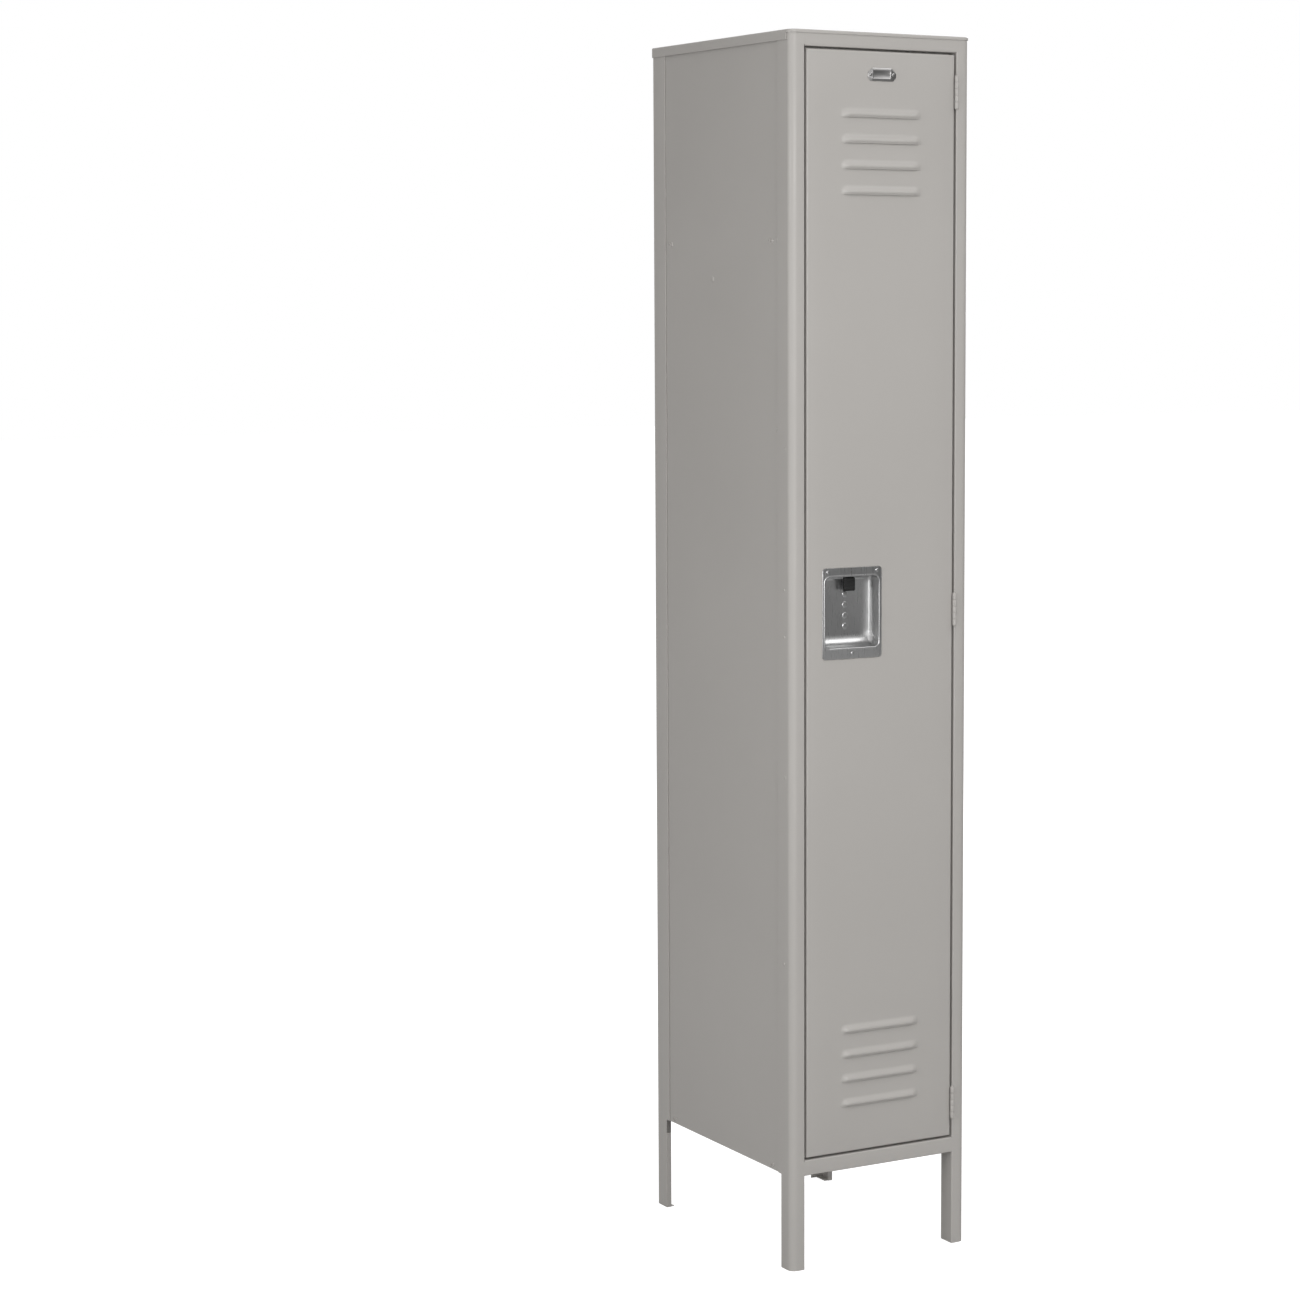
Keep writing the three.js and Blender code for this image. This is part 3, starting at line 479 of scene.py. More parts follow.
def moulded(name, colour, roughness, grain):
    surface = Surface(name, colour, roughness)
    surface.vary(40, 0.2).vary(grain, 0.15)
    # lighter edges: some wear, and a painted highlight along them
    surface.edges(0.0008, [min(1, c * 1.6 + 0.01) for c in colour], 0.4)
    surface.gloss(60, 0.08)
    surface.bump(grain, 0.00005, 0.6)
    return surface.done()


PAINT = painted_steel("grey_paint", (0.405, 0.388, 0.368))
STAINLESS = metal("stainless", (0.50, 0.50, 0.50), 0.30, 900, (1, 1, 0.03))
ZINC = metal("zinc", (0.50, 0.51, 0.52), 0.38, 700, (1, 1, 1))
ALUMINIUM = metal("number_plate", (0.34, 0.335, 0.33), 0.38, 900, (0.03, 1, 1))
RUBBER = moulded("rubber", (0.014, 0.014, 0.014), 0.8, 700)
BLACK_PLASTIC = moulded("black_plastic", (0.005, 0.005, 0.005), 0.62, 900)
NYLON = moulded("nylon", (0.75, 0.74, 0.68), 0.5, 500)
FINISHES = {
    "grey_paint": PAINT,
    "stainless": STAINLESS,
    "zinc": ZINC,
    "number_plate": ALUMINIUM,
    "rubber": RUBBER,
    "black_plastic": BLACK_PLASTIC,
    "nylon": NYLON,
}

# ---------------------------------------------------------------- the frame and its legs

LEG_JAMB_TOP = LEG - 0.001          # top of the fold that the front legs have in place of the strike
RAIL_DEPTH = 0.036
REAR_BEND = 0.0026
REAR_LIP = 0.009                    # narrow lip along a rear leg's front edge
REAR_LIP_TOP = LEG - 0.024
REAR_FOOT = 0.015                   # how far a rear leg's foot reaches across the back
FREE = 0.00002                      # keeps the faces of two parts of one piece from coinciding


def front_post(side):
    lip_start = FRONT + STRIKE_DEPTH - TIGHT_BEND
    leg_back = FRONT + LEG_DEPTH
    path = rounded_path([
        (-HALF, POST_REACH, 0),
        (-HALF, leg_back, 0),
        (-HALF, FRONT, CORNER_RADIUS),
        (-JAMB, FRONT, BEND),
        (-JAMB, FRONT + STRIKE_DEPTH, TIGHT_BEND),
        (-JAMB + STRIKE_LIP, FRONT + STRIKE_DEPTH, 0),
    ], steps=14)

    def removed(x, y, z):
        if z < LEG and y > leg_back:
            return True
        if y > lip_start and x > -HALF + FRAME_SHEET:
            return z < RAIL_LOW + CLEAR or z > RAIL_HIGH - CLEAR
        return False

    rows = [0, LEG_JAMB_TOP, LEG, RAIL_LOW + CLEAR, RAIL_HIGH - CLEAR, POST_TOP]
    bm = bmesh.new()
    sheet_cells(bm, path, rows, along_z, removed)
    sheet_cells(bm, [Vector((-JAMB, lip_start)), Vector((-JAMB, leg_back))], rows[:2], along_z)
    drop_loose(merged(bm, 2e-5))
    post = object_from(f"post_{side}", bm, mirror=side == "right")
    thicken(post, FRAME_SHEET, to_left=True)
    inset = FRAME_SHEET + FREE
    foot = rounded_path([
        (-HALF + inset, leg_back, 0),
        (-HALF + inset, FRONT + inset, CORNER_RADIUS - inset),
        (-JAMB - inset, FRONT + inset, 0),
        (-JAMB - inset, leg_back, 0),
    ])
    bm = bmesh.new()
    ring_cells(bm, [[Vector((p.x, p.y, z)) for p in foot] for z in (0.0, FRAME_SHEET)], True, True)
    bmesh.ops.recalc_face_normals(bm, faces=bm.faces)
    post = joined(post.name, [post, object_from("foot", bm, mirror=side == "right")])
    soften(post)
    dress(post, "locker_body", "grey_paint", PAINT, f"frame_post_{side}")


def frame_rail(place, outer, opening, up):
    """A channel between the posts, whose face runs on to meet theirs. Up is 1 for the top rail, or -1."""
    lip_level = FRONT + STRIKE_DEPTH - TIGHT_BEND
    path = rounded_path([
        (FRONT + RAIL_DEPTH, outer, 0),
        (FRONT, outer, BEND),
        (FRONT, opening, BEND),
        (FRONT + STRIKE_DEPTH, opening, TIGHT_BEND),
        (FRONT + STRIKE_DEPTH, opening - up * STRIKE_LIP, 0),
    ])
    inner = JAMB - CLEAR
    lip_end = inner - STRIKE_LIP
    rows = [-JAMB - BEND, -inner, -lip_end, lip_end, inner, JAMB + BEND]

    def removed(y, z, x):
        if abs(x) > inner:
            return y > FRONT + 1e-5
        on_lip = y > lip_level and abs(z - outer) > 0.001 and (z - opening) * up < 0.001
        return on_lip and abs(x) > lip_end

    bm = bmesh.new()
    sheet_cells(bm, path, rows, along_x, removed)
    drop_loose(merged(bm))
    rail = object_from(f"rail_{place}", bm)
    thicken(rail, FRAME_SHEET, to_left=up > 0)
    soften(rail)
    dress(rail, "locker_body", "grey_paint", PAINT, f"frame_rail_{place}")


def rear_post(side):
    leg_front = BACK - LEG_DEPTH
    path = rounded_path([
        (-HALF, REAR_POST_REACH, 0),
        (-HALF, leg_front, 0),
        (-HALF, BACK, REAR_BEND),
        (-HALF + FACE, BACK, 0),
    ])
    rows = [0, REAR_LIP_TOP, LEG, POST_TOP]
    bm = bmesh.new()
    sheet_cells(bm, path, rows, along_z, lambda x, y, z: z < LEG and y < leg_front)
    lip = [Vector((-HALF + REAR_LIP, leg_front)), Vector((-HALF, leg_front))]
    sheet_cells(bm, lip, rows[:2], along_z)
    drop_loose(merged(bm))
    post = object_from(f"back_post_{side}", bm, mirror=side == "right")
    thicken(post, FRAME_SHEET, to_left=False)
    inset = FRAME_SHEET + FREE
    bm = bmesh.new()
    box_cells(bm, (-HALF + inset, leg_front + inset, 0), (-HALF + REAR_FOOT, BACK - inset, FRAME_SHEET))
    post = joined(post.name, [post, object_from("foot", bm, mirror=side == "right")])
    soften(post)
    dress(post, "locker_body", "grey_paint", PAINT, f"rear_post_{side}")


for side in ("left", "right"):
    front_post(side)
    rear_post(side)
frame_rail("top", POST_TOP, RAIL_HIGH, 1)
frame_rail("bottom", LEG, RAIL_LOW, -1)

# ---------------------------------------------------------------- panels, shelf, cover

SIDE_BEND = 0.0018                  # outer radius of a fold in the thin sheets
TRAY_CORNER = 0.002
COVER_BEND = 0.0022
COVER_CORNER = 0.003                # radius of the cover's back corners
COVER_LIP = 0.005                   # depth of its lip round the front


def side_panel(side):
    low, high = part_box("side_panel_left")
    path = rounded_path([
        (low.x, low.y, 0),
        (low.x, high.y, SIDE_BEND),
        (high.x, high.y, 0),
    ])
    bm = bmesh.new()
    sheet_cells(bm, path, [low.z, high.z], along_z)
    panel = object_from(f"side_{side}", bm, mirror=side == "right")
    thicken(panel, BODY_SHEET, to_left=False)
    soften(panel, SOFT["thin"])
    dress(panel, "locker_body", "grey_paint", PAINT, f"side_panel_{side}")


def rounded_outline(low, high, radii, steps=10):
    """A closed outline round a rectangle from its low corner, with its own radius at each corner."""
    corners = [(low[0], low[1]), (high[0], low[1]), (high[0], high[1]), (low[0], high[1])]
    points = []
    for i, (a, b) in enumerate(corners):
        radius = radii[i]
        if radius <= 0:
            points.append(Vector((a, b)))
            continue
        centre = Vector((a + (radius if i in (0, 3) else -radius), b + (radius if i < 2 else -radius)))
        for step in range(steps + 1):
            angle = math.pi * (1 + i / 2) + math.pi / 2 * step / steps
            points.append(centre + radius * Vector((math.cos(angle), math.sin(angle))))
    return points


def folded_rings(low, high, fold, fold_steps, levels, radii, steps):
    """Outlines of a sheet folded down all round: over the fold at its top, then down at the given levels."""
    down = [(fold * (1 - math.sin(a)), high.z - fold * (1 - math.cos(a))) for a in quarter_turn(fold_steps)]
    rings = []
    for inset, z in down + [(0, level) for level in levels]:
        outline = rounded_outline((low.x + inset, low.y + inset), (high.x - inset, high.y - inset),
                                  [radius - inset for radius in radii], steps)
        rings.append([Vector((p.x, p.y, z)) for p in outline])
    return rings


def top_cover():
    """A flat cover with a deep skirt at the sides and back, and only a short lip round the front."""
    low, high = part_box("top_cover")
    front_radius = CORNER_RADIUS + COVER_SHEET + CLEAR
    radii = [front_radius] * 2 + [COVER_CORNER] * 2
    lip = high.z - COVER_LIP
    rings = folded_rings(low, high, COVER_BEND, 5, [lip, low.z], radii, 12)
    bm = bmesh.new()
    ring_cells(bm, rings, closed_start=True,
               removed=lambda m: m.z < lip and m.y < FRONT + CORNER_RADIUS)
    drop_loose(merged(bm))
    cover = face_outward(object_from("cover", bm))
    thicken(cover, COVER_SHEET, to_left=True)
    soften(cover, SOFT["thin"])
    dress(cover, "locker_body", "grey_paint", PAINT, "top_cover")


def tray(node, skirt):
    """A shelf with its four edges folded down."""
    low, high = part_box(node)
    bm = bmesh.new()
    rings = folded_rings(low, high, SIDE_BEND, 4, [high.z - skirt], [TRAY_CORNER] * 4, 4)
    ring_cells(bm, rings, closed_start=True)
    bmesh.ops.recalc_face_normals(bm, faces=merged(bm).faces)
    shelf = object_from(f"{node}_sheet", bm)
    thicken(shelf, BODY_SHEET, to_left=True)
    soften(shelf, SOFT["thin"])
    dress(shelf, "locker_body", "grey_paint", PAINT, node)


for side in ("left", "right"):
    side_panel(side)
top_cover()
tray("hat_shelf", skirt=0.018)
tray("bottom_panel", skirt=0.013)

# ---------------------------------------------------------------- door

DOOR_SHEET = 0.0015
DOOR_EDGE = 0.0030                  # rounding where the door's face turns back
DOOR_BACK = DOOR_HIGH.y
DOOR_FOLD = 0.0018                  # rounding where the edge turns in to the lip
LIP = 0.012
LATCH_SLOT = {"half": 0.022, "outer": 0.0016, "inner": 0.0095}      # outer and inner: from the door's edge
LOUVER = {"half": 0.076, "height": 0.016, "out": 0.0048, "slope": 0.016, "nose": 0.74}
LOUVER_PITCH = 0.0404
LOUVER_TOPS = [top - LOUVER_PITCH * i for top in (1.864, 0.396) for i in range(4)]
LOUVER_MOUTHS = [top - LOUVER["height"] for top in LOUVER_TOPS]
LATCH_HEIGHTS = (1.808, 1.069, 0.330)
POCKET_LOW, POCKET_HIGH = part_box("handle_pocket")
POCKET_MIDDLE = (POCKET_LOW.x + POCKET_HIGH.x) / 2
HANDLE_HOLE_X = (POCKET_LOW.x + 0.004, POCKET_HIGH.x - 0.004)
HANDLE_HOLE_Z = (POCKET_LOW.z + 0.016, POCKET_HIGH.z - 0.012)


def ease(t):
    t = max(0.0, min(1.0, t))
    return t * t * (3 - 2 * t)


def hood(down):
    """A louver's section from its flush top (0) over its nose to the lip of its mouth (1)."""
    nose = LOUVER["nose"]
    if down < nose:
        return (1 - math.cos(math.pi * down / nose)) / 2
    return (3 + math.cos(math.pi * (down - nose) / (1 - nose))) / 4


def louver_out(x, z, mouth_above):
    """How far the skin stands out at a place; on a mouth's line, above it or below it."""
    for top in LOUVER_TOPS:
        down = (top - z) / LOUVER["height"]
        if -1e-6 <= down < 1 - 1e-4 or (abs(down - 1) <= 1e-4 and mouth_above):
            ends = ease((LOUVER["half"] - abs(x)) / LOUVER["slope"])
            return LOUVER["out"] * ends * hood(max(0.0, min(1.0, down)))
    return 0.0


def spread(*stops):
    """Values from a list of (from, to, steps) runs, without repeats."""
    values = []
    for start, end, steps in stops:
        values += [start + (end - start) * i / steps for i in range(steps + 1)]
    kept = []
    for value in sorted(values):
        if not kept or value - kept[-1] > 1e-5:
            kept.append(value)
    return kept


def door_lines():
    """The lines of the door's grid, x across it and z up it, close together at the louvers."""
    face_x = DOOR_HIGH.x - DOOR_EDGE
    reach, slope = LOUVER["half"], LOUVER["slope"]
    louver_ends = [(-reach, slope - reach, 9), (reach - slope, reach, 9)]
    xs = spread((-face_x, face_x, 6), *louver_ends, (*HANDLE_HOLE_X, 3))
    z_runs = [(DOOR_LOW.z + DOOR_EDGE, DOOR_HIGH.z - DOOR_EDGE, 24), (*HANDLE_HOLE_Z, 3)]
    z_runs += [(mouth, top, 14) for mouth, top in zip(LOUVER_MOUTHS, LOUVER_TOPS)]
    return xs, spread(*z_runs)


def door_face(bm, xs, zs):
    """The flat of the door with its louvers, open at their mouths, and the hole for the handle."""
    rows_below, rows_above = [], []
    for z in zs:
        below = [bm.verts.new((x, FRONT - louver_out(x, z, False), z)) for x in xs]
        above = below
        if any(abs(z - mouth) < 2e-5 for mouth in LOUVER_MOUTHS):
            above = list(below)
            for i, x in enumerate(xs):
                if abs(x) < LOUVER["half"] - 1e-4:
                    above[i] = bm.verts.new((x, FRONT - louver_out(x, z, True), z))
        rows_below.append(below)
        rows_above.append(above)
    for j in range(len(zs) - 1):
        low_row, high_row = rows_above[j], rows_below[j + 1]
        for i in range(len(xs) - 1):
            x, z = (xs[i] + xs[i + 1]) / 2, (zs[j] + zs[j + 1]) / 2
            if HANDLE_HOLE_X[0] < x < HANDLE_HOLE_X[1] and HANDLE_HOLE_Z[0] < z < HANDLE_HOLE_Z[1]:
                continue
            bm.faces.new((low_row[i], low_row[i + 1], high_row[i + 1], high_row[i]))


def door_edges(bm, xs, zs):
    """The rounded edges all round the face, running back to where the lips turn in."""
    back = DOOR_BACK - FRONT
    section = [(DOOR_EDGE * math.sin(a), DOOR_EDGE * (1 - math.cos(a))) for a in quarter_turn(6)[1:]]
    section.append((DOOR_EDGE, back - DOOR_FOLD))
    section += [(DOOR_EDGE - DOOR_FOLD * (1 - math.cos(a)), back - DOOR_FOLD * (1 - math.sin(a)))
                for a in quarter_turn(3)[1:3]]
    outline = [(x, zs[0]) for x in xs] + [(xs[-1], z) for z in zs[1:]]
    outline += [(x, zs[-1]) for x in xs[-2::-1]] + [(xs[0], z) for z in zs[-2:0:-1]]

    def side(value, values):
        return (value == values[-1]) - (value == values[0])

    rings = [[Vector((x, FRONT, z)) for x, z in outline]]
    for out, depth in section:
        rings.append([Vector((x + out * side(x, xs), FRONT + depth, z + out * side(z, zs)))
                      for x, z in outline])
    ring_cells(bm, rings)


def door_lips(bm):
    """The inner lips of the door's two long edges, slotted on the latch side."""
    half_x = DOOR_HIGH.x
    end_gap = 0.0006
    sink = 0.00012                  # keeps the lips' faces off the edges' faces
    slots = [(z - LATCH_SLOT["half"], z + LATCH_SLOT["half"], 1) for z in LATCH_HEIGHTS]
    rows = spread(*slots, (DOOR_LOW.z + end_gap, DOOR_HIGH.z - end_gap, 1))
    y = DOOR_BACK - sink

    def slotted(x, _, z):
        across = half_x - LATCH_SLOT["inner"] < -x < half_x - LATCH_SLOT["outer"]
        return across and any(abs(z - middle) < LATCH_SLOT["half"] for middle in LATCH_HEIGHTS)

    for hand in (-1, 1):
        insets = (end_gap, LATCH_SLOT["outer"], LATCH_SLOT["inner"], LIP)
        columns = [Vector((hand * (half_x - inset), y)) for inset in insets]
        sheet_cells(bm, columns if hand < 0 else columns[::-1], rows, along_z, slotted)


def face_viewer(bm, known):
    """Turns a sheet's faces so that they agree and the known one looks out of the locker's front."""
    bmesh.ops.recalc_face_normals(bm, faces=bm.faces)
    if known.normal.y > 0:
        bmesh.ops.reverse_faces(bm, faces=bm.faces)


def door():
    xs, zs = door_lines()
    bm = bmesh.new()
    door_face(bm, xs, zs)
    door_edges(bm, xs, zs)
    drop_loose(merged(bm, 1e-5))
    bm.normal_update()
    face_viewer(bm, min(bm.faces, key=lambda f: (f.calc_center_median() - Vector((0, FRONT, 1.4))).length))
    skin = object_from("door_sheet", bm)
    thicken(skin, DOOR_SHEET, to_left=True)
    soften(skin, SOFT["door"])
    dress(skin, "door", "grey_paint", PAINT, "door_panel")
    bm = bmesh.new()
    door_lips(bm)
    drop_loose(merged(bm))
    bmesh.ops.recalc_face_normals(bm, faces=bm.faces)
    lips = object_from("door_lips", bm)
    thicken(lips, DOOR_SHEET, to_left=False)
    soften(lips, SOFT["door"])
    dress(lips, "door", "grey_paint", PAINT)


door()

# ---------------------------------------------------------------- recessed handle

PLATE_FRONT = POCKET_LOW.y
HANDLE_WALL = 0.0011
OPENING = {"x": (POCKET_MIDDLE - 0.050, POCKET_MIDDLE + 0.050), "z": (1.008, 1.122)}
CUP_DEPTH = 0.0228                  # from the plate's face to the inside of the back
TOP_RADIUS = 0.0065                 # fillets at the cup's top and sides
RAMP_RADIUS = 0.0195                # and at its bottom
SLOT = {"half": 0.0115, "front": 0.0055}    # where the lift comes down through the cup's top wall
CORNERS = {"plate": 0.006, "opening": 0.009, "floor": 0.004}        # radii
# (inset, depth) over the plate's outer edge, and over the raised rim of its opening
PLATE_EDGE = ((0, 0.0012), (0.0001, 0.0006), (0.0005, 0.0001), (0.0010, 0))
RIM = ((-0.0034, 0), (-0.0028, -0.0001), (-0.0022, -0.0004), (-0.0012, -0.0005), (-0.0005, -0.0002),
       (0, 0.0006), (0.0003, 0.0016))
DRAFT = 0.12                        # share of the taper that the cup's walls have before their fillets
TAPER = 0.0075                      # how far the cup's floor is in from the opening at the top and sides
RAMP = 0.0225                       # and at the bottom
RAMP_TOP = 0.011                    # where, above the opening's lower edge, the ramp's fillet begins to grow
RAMP_BLEND = 0.009                  # and the height over which it does


def handle_outline(low, high, inset, radius):
    """A rounded rectangle on the plate, with extra points along its sides."""
    return split_sides(rounded_outline((low[0] + inset, low[1] + inset), (high[0] - inset, high[1] - inset),
                                       [max(radius - inset, 0.0006)] * 4, steps=8))


def at_depth(outline, depth):
    return [Vector((p.x, PLATE_FRONT + depth, p.y)) for p in outline]


def cup_ring(mouth, floor, turn):
    """One ring of the cup on its way round the fillets, which are small at the top and a long ramp below."""
    ring = []
    for start, end in zip(mouth, floor):
        low_part = ease((OPENING["z"][0] + RAMP_TOP - start.y) / RAMP_BLEND)
        fillet = TOP_RADIUS + (RAMP_RADIUS - TOP_RADIUS) * low_part
        depth = CUP_DEPTH - fillet + fillet * math.sin(turn)
        draft = DRAFT * (1 - low_part)
        place = start.lerp(end, draft + (1 - draft) * (1 - math.cos(turn)))
        ring.append(Vector((place.x, PLATE_FRONT + depth, place.y)))
    return ring


def handle_rings():
    """From the plate's outer edge over its face and down into the cup, one ring of points each."""
    plate = ((POCKET_LOW.x, POCKET_LOW.z), (POCKET_HIGH.x, POCKET_HIGH.z))
    opening = tuple(zip(OPENING["x"], OPENING["z"]))
    rings = [at_depth(handle_outline(*plate, inset, CORNERS["plate"]), depth) for inset, depth in PLATE_EDGE]
    rings += [at_depth(handle_outline(*opening, inset, CORNERS["opening"]), depth) for inset, depth in RIM]
    mouth = handle_outline(*opening, RIM[-1][0], CORNERS["opening"])
    rings.append(at_depth(mouth, SLOT["front"]))
    floor_low = (opening[0][0] + TAPER, opening[0][1] + RAMP)
    floor_high = (opening[1][0] - TAPER, opening[1][1] - TAPER)
    floor = handle_outline(floor_low, floor_high, 0, CORNERS["floor"])
    return rings + [cup_ring(mouth, floor, turn) for turn in quarter_turn(9)]


def split_sides(ring):
    """Adds five points along each side of an outline, at the same x on every ring along top and bottom."""
    across = [SLOT["half"] * k for k in (-2, -1, 0, 1, 2)]
    result = []
    for i, point in enumerate(ring):
        result.append(point)
        if (i + 1) % 9:
            continue
        following = ring[(i + 1) % len(ring)]
        if abs(following.x - point.x) > abs(following.y - point.y):
            steps = across if following.x > point.x else across[::-1]
            result += [Vector((POCKET_MIDDLE + x, point.y)) for x in steps]
        else:
            result += [point.lerp(following, k / 6) for k in range(1, 6)]
    return result


def in_lift_slot(middle):
    """Whether a cell of the cup lies where the lift comes down through its top wall."""
    back = PLATE_FRONT + CUP_DEPTH - TOP_RADIUS
    return (abs(middle.x - POCKET_MIDDLE) < SLOT["half"] and middle.z > OPENING["z"][1] - 0.004
            and PLATE_FRONT + SLOT["front"] < middle.y < back)


def handle_cup():
    bm = bmesh.new()
    made = ring_cells(bm, handle_rings(), removed=in_lift_slot)
    face_viewer(bm, bm.faces.new(made[-1]))
    cup = object_from("handle_cup", bm)
    thicken(cup, HANDLE_WALL, to_left=True, even=False)
    soften(cup, SOFT["thin"])
    dress(cup, "door", "stainless", STAINLESS, "handle_pocket")


def turned(name, profile, centre, direction, segments=32, flats=None):
    """A piece turned about an axis. The profile lists (distance along the axis, radius)."""
    along = Vector(direction).normalized()
    side = along.orthogonal().normalized()
    other = along.cross(side)
    bm = bmesh.new()
    rings = []
    for distance, radius in profile:
        ring = []
        for i in range(segments):
            angle = 2 * math.pi * i / segments
            spoke = side * math.cos(angle) + other * math.sin(angle)
            reach = radius
            if flats:
                step = 2 * math.pi / flats
                reach = radius * math.cos(step / 2) / math.cos((angle + step / 2) % step - step / 2)
            ring.append(Vector(centre) + along * distance + spoke * reach)
        rings.append(ring)
    ring_cells(bm, rings, closed_start=True, closed_end=True)
    bmesh.ops.recalc_face_normals(bm, faces=bm.faces)
    return object_from(name, bm)


def dome(radius, height, steps=6):
    """The profile of a low round head, for turned()."""
    turns = [math.pi / 2 * i / steps for i in range(steps)]
    return [(height * math.sin(a), radius * math.cos(a)) for a in turns] + [(height, radius * 0.05)]


BUMPS = {"count": 4, "top": 1.0920, "pitch": 0.0172, "radius": 0.0052, "height": 0.0007}


def bumps():
    """Small pressed bumps in a column on the cup's back."""
    made = []
    radius = BUMPS["radius"]
    profile = [(-0.0004, radius + 0.0006), (0, radius + 0.0002)] + dome(radius, BUMPS["height"])
    for i in range(BUMPS["count"]):
        place = (POCKET_MIDDLE, PLATE_FRONT + CUP_DEPTH, BUMPS["top"] - BUMPS["pitch"] * i)
        made.append(turned(f"bump_{i}", profile, place, (0, -1, 0), 24))
    cup_bumps = soften(joined("handle_bumps", made), SOFT["small"], angle=60)
    dress(cup_bumps, "door", "stainless", STAINLESS)


def face_rivet(name, slot, material):
    """A low round head on the door's face, with its tail spread inside."""
    low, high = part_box(name)
    head, shank, tail_spread = 0.0010, 0.0016, 0.0024
    centre = ((low.x + high.x) / 2, low.y + head, (low.z + high.z) / 2)
    length = high.y - centre[1]
    profile = dome((high.x - low.x) / 2, head)
    tail = [(0, shank), (length - 0.0010, shank), (length - 0.0009, tail_spread), (length, 0.0021)]
    parts = [
        turned(f"{name}_head", profile, centre, (0, -1, 0), 28),
        turned(f"{name}_tail", tail, centre, (0, 1, 0), 20),
    ]
    rivet = soften(joined(f"{name}_whole", parts), SOFT["small"], angle=60)
    dress(rivet, "door", slot, material, name)


def finger_lift():
    """A pad with a rounded nose and grooves across its front, for a finger to push up."""
    low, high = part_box("finger_lift")
    depth = high.y - low.y
    height = high.z - low.z
    groove_pitch, groove_depth = 0.0024, 0.0006
    outline = [(0, 0.0045), (0.0004, 0.0028), (0.0014, 0.0010), (0.0028, 0.0002), (depth * 0.8, 0),
               (depth, 0.0004), (depth, height), (0.0030, height), (0.0008, height - 0.0010),
               (0, height - 0.0030)]
    for k in range(5):
        z = height - 0.0045 - k * groove_pitch
        outline += [(0, z), (groove_depth, z - 0.0005), (groove_depth, z - 0.0010), (0, z - 0.0015)]
    rings = []
    for x in (low.x, low.x + 0.0008, high.x - 0.0008, high.x):
        shrink = 0.0006 if x in (low.x, high.x) else 0
        ring = []
        for y, z in outline:
            kept_y = min(max(y, shrink), depth - shrink / 2)
            kept_z = min(max(z, shrink), height - shrink)
            ring.append(Vector((x, low.y + kept_y, low.z + kept_z)))
        rings.append(ring)
    bm = bmesh.new()
    ring_cells(bm, rings, closed_start=True, closed_end=True)
    bmesh.ops.recalc_face_normals(bm, faces=bm.faces)
    pad = object_from("lift_pad", bm)
    soften(pad, SOFT["thin"])
    dress(pad, "lift", "black_plastic", BLACK_PLASTIC, "finger_lift")


handle_cup()
bumps()
for name in ("handle_rivet_left", "handle_rivet_right", "handle_screw"):
    face_rivet(name, "stainless", STAINLESS)
finger_lift()

# ---------------------------------------------------------------- number plate


def eared_outline(half_width, half_height, body, ear, inset):
    """A plate's outline, eight corners slightly rounded, drawn in towards the middle by an inset."""
    corners = [(-half_width, -ear + 0.002), (-body - 0.003, -half_height), (body + 0.003, -half_height),
               (half_width, -ear + 0.002), (half_width, ear - 0.004), (body, half_height),
               (-body, half_height), (-half_width, ear - 0.004)]
    points = []
    for i, (x, z) in enumerate(corners):
        corner = Vector((x, z))
        before = (Vector(corners[i - 1]) - corner).normalized()
        after = (Vector(corners[(i + 1) % 8]) - corner).normalized()
        place = corner - corner.normalized() * inset
        points += [place + before * reach for reach in (0.0022, 0.0010, 0.0004)]
        points += [place + after * reach for reach in (0.0004, 0.0010, 0.0022)]
    return points


def number_plate():
    """A small pressed plate with an ear at each end and a raised blank field."""
    low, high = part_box("number_plate")
    middle = (low + high) / 2
    half_width, half_height = (high.x - low.x) / 2, (high.z - low.z) / 2
    body, ear = half_width - 0.0085, half_height - 0.0045
    field = half_height - 0.0025

    def placed(points, drop):
        return [Vector((middle.x + p.x, high.y - drop, middle.z + p.y)) for p in points]

    rings = []
    for inset, drop in ((0, 0), (0, 0.0005), (0.0004, 0.0007)):
        rings.append(placed(eared_outline(half_width, half_height, body, ear, inset), drop))
    for inset, drop in ((0, 0.0007), (0.0007, 0.0010), (0.0017, 0.0010), (0.0022, 0.0006)):
        rings.append(placed(rounded_outline((-body + inset, -field + inset), (body - inset, field - inset),
                                            [0.0015] * 4, steps=11), drop))
    bm = bmesh.new()
    ring_cells(bm, rings, closed_start=True, closed_end=True)
    bmesh.ops.recalc_face_normals(bm, faces=bm.faces)
    plate = object_from("blank_number_plate", bm)
    soften(plate, SOFT["small"], angle=50)
    dress(plate, "door", "number_plate", ALUMINIUM, "number_plate")


number_plate()
for name in ("number_plate_rivet_left", "number_plate_rivet_right"):
    face_rivet(name, "number_plate", ALUMINIUM)

# ---------------------------------------------------------------- bolts and hinges

BOLT_SHANK = 0.0024
BOLT_HEAD = {"radius": 0.0050, "height": 0.0015}
NUT = {"start": 0.0041, "end": 0.0010, "radius": 0.0046, "chamfer": 0.0004}     # start, end: before the tip
HINGE_HEIGHT = 0.053
KNUCKLES = 5
KNUCKLE_PITCH = HINGE_HEIGHT / KNUCKLES
KNUCKLE_GAP = 0.00015               # taken off each end of a knuckle
LEAF_HALF_SHEET = 0.0006
LEAF_OFFSET = 0.0009                # from the hinge's axis sideways to the middle of a leaf


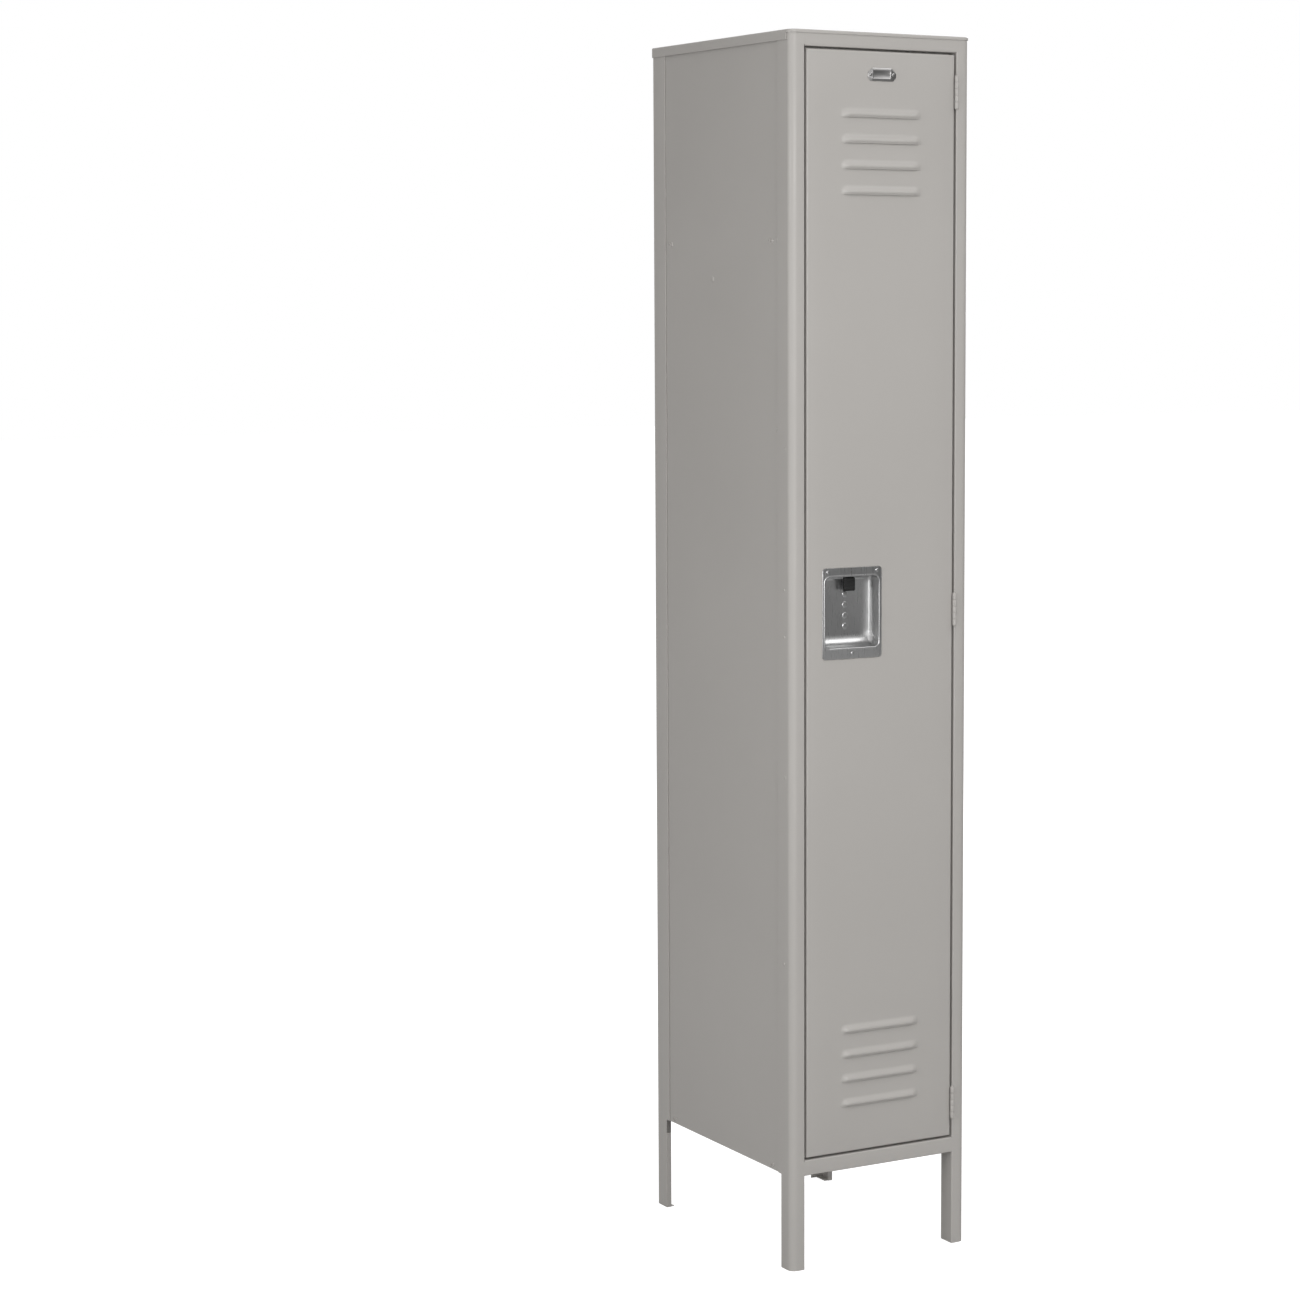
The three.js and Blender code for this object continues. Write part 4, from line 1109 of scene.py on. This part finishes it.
def bolt(node):
    """A round-headed bolt from outside, with its nut inside."""
    low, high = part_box(node)
    centre = (low + high) / 2
    if high.y - low.y > high.x - low.x:
        outward = Vector((0, 1, 0))
    else:
        outward = Vector((1 if centre.x > 0 else -1, 0, 0))
    length = abs((high - low).dot(outward))
    start = centre + outward * length / 2
    head_height, nut_radius, chamfer = BOLT_HEAD["height"], NUT["radius"], NUT["chamfer"]
    nut_start, nut_end = length - NUT["start"], length - NUT["end"]
    head = [(-head_height, BOLT_HEAD["radius"])]
    head += [(along - head_height, radius) for along, radius in dome(BOLT_HEAD["radius"], head_height)]
    shank = [(0.0012, BOLT_SHANK), (length - 0.0004, BOLT_SHANK), (length, BOLT_SHANK - 0.0005)]
    nut = [(nut_start, nut_radius - chamfer), (nut_start + chamfer, nut_radius),
           (nut_end - chamfer, nut_radius), (nut_end, nut_radius - chamfer)]
    parts = [
        turned(f"{node}_head", head, start, outward, 28),
        turned(f"{node}_shank", shank, start, -outward, 20),
        turned(f"{node}_nut", nut, start, -outward, 24, flats=6),
    ]
    whole = soften(joined(f"{node}_whole", parts), SOFT["small"], angle=50)
    dress(whole, "locker_body", "grey_paint", PAINT, node)


def boxed(name, low, high):
    bm = bmesh.new()
    box_cells(bm, low, high)
    return object_from(name, bm)


def hinge_leaf(node, place, body, first, offset):
    """Every other knuckle of a hinge from the first, and the plate between the door's edge and the frame."""
    low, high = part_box(node)
    pin_low, pin_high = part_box(f"hinge_{place}_pin")
    centre = (pin_low + pin_high) / 2
    radius = centre.y - low.y
    base = centre.z - HINGE_HEIGHT / 2
    sheet = (centre.x + offset - LEAF_HALF_SHEET, centre.x + offset + LEAF_HALF_SHEET)
    made = [boxed(f"{node}_plate", (sheet[0], centre.y + radius + 0.0006, base),
                  (sheet[1], high.y, base + HINGE_HEIGHT))]
    for k in range(first, KNUCKLES, 2):
        start = base + k * KNUCKLE_PITCH + KNUCKLE_GAP
        end = base + (k + 1) * KNUCKLE_PITCH - KNUCKLE_GAP
        profile = [(start, radius - 0.0004), (start + 0.0003, radius - 0.0001), (start + 0.0006, radius),
                   (end - 0.0006, radius), (end - 0.0003, radius - 0.0001), (end, radius - 0.0004)]
        made.append(turned(f"{node}_knuckle_{k}", profile, (centre.x, centre.y, 0), (0, 0, 1), 40))
        made.append(boxed(f"{node}_neck_{k}", (sheet[0], centre.y + 0.0028, start),
                          (sheet[1], centre.y + radius + 0.0010, end)))
    leaf = soften(joined(f"{node}_whole", made), SOFT["small"], angle=50)
    dress(leaf, body, "grey_paint", PAINT, node)


def hinge_pin(node):
    """A pin with a rounded head at each end."""
    low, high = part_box(node)
    centre = (low + high) / 2
    half = (high.z - low.z) / 2
    head = [(half, 0.0018), (half - 0.0003, 0.0025), (half - 0.0009, 0.0027), (half - 0.0010, 0.0015)]
    profile = [(-along, radius) for along, radius in head] + head[::-1]
    pin = soften(turned(f"{node}_whole", profile, centre, (0, 0, 1), 28), SOFT["small"], angle=50)
    dress(pin, "locker_body", "grey_paint", PAINT, node)


for node in sorted(frame["nodes"]):
    if "_bolt" in node:
        bolt(node)
for place in ("top", "middle", "bottom"):
    hinge_leaf(f"hinge_{place}_frame_leaf", place, "locker_body", 0, LEAF_OFFSET)
    hinge_leaf(f"hinge_{place}_door_leaf", place, "door", 1, -LEAF_OFFSET)
    hinge_pin(f"hinge_{place}_pin")

# ---------------------------------------------------------------- small bolt heads along the sides

POST_FLANGE = 0.042                 # heads nearer the front than this sit on the post, others on the panel
SIDE_HEADS = [(0.0477, 1.657), (0.0477, 1.358), (0.0190, 1.328), (0.0220, 1.104), (0.0210, 1.028),
              (0.0190, 0.804), (0.0220, 0.501)]


def side_heads():
    """Low painted heads down each front corner, where the sheets are fastened together."""
    for hand, side in ((-1, "left"), (1, "right")):
        made = []
        for i, (back, z) in enumerate(SIDE_HEADS):
            face = HALF if back < POST_FLANGE else PANEL
            place = (hand * (face - 0.0002), FRONT + back, z)
            profile = [(0, 0.0030)] + [(0.0002 + d, r) for d, r in dome(0.0029, 0.0008)]
            made.append(turned(f"head_{side}_{i}", profile, place, (hand, 0, 0), 20))
        heads = soften(joined(f"side_heads_{side}", made), SOFT["small"], angle=60)
        dress(heads, "locker_body", "grey_paint", PAINT)


side_heads()

# ---------------------------------------------------------------- CAD pieces that stay

SUBPARTS = {row["node"]: row["material_slot"] for row in frame["record"]["subparts"]}


def keep_cad_pieces():
    """Gives the pieces that aren't redrawn their finish and softened edges."""
    for name, node in frame["nodes"].items():
        if node.hide_render:
            continue
        node.data.materials.clear()
        node.data.materials.append(FINISHES[SUBPARTS[name]])
        weld = node.modifiers.new("one_skin", "WELD")
        weld.merge_threshold = 1e-6
        bevel = node.modifiers.new("soft_edges", "BEVEL")
        bevel.width = SOFT["kept"]
        bevel.segments = 2
        bevel.limit_method = "ANGLE"
        bevel.angle_limit = math.radians(40)
        bevel.harden_normals = True


keep_cad_pieces()
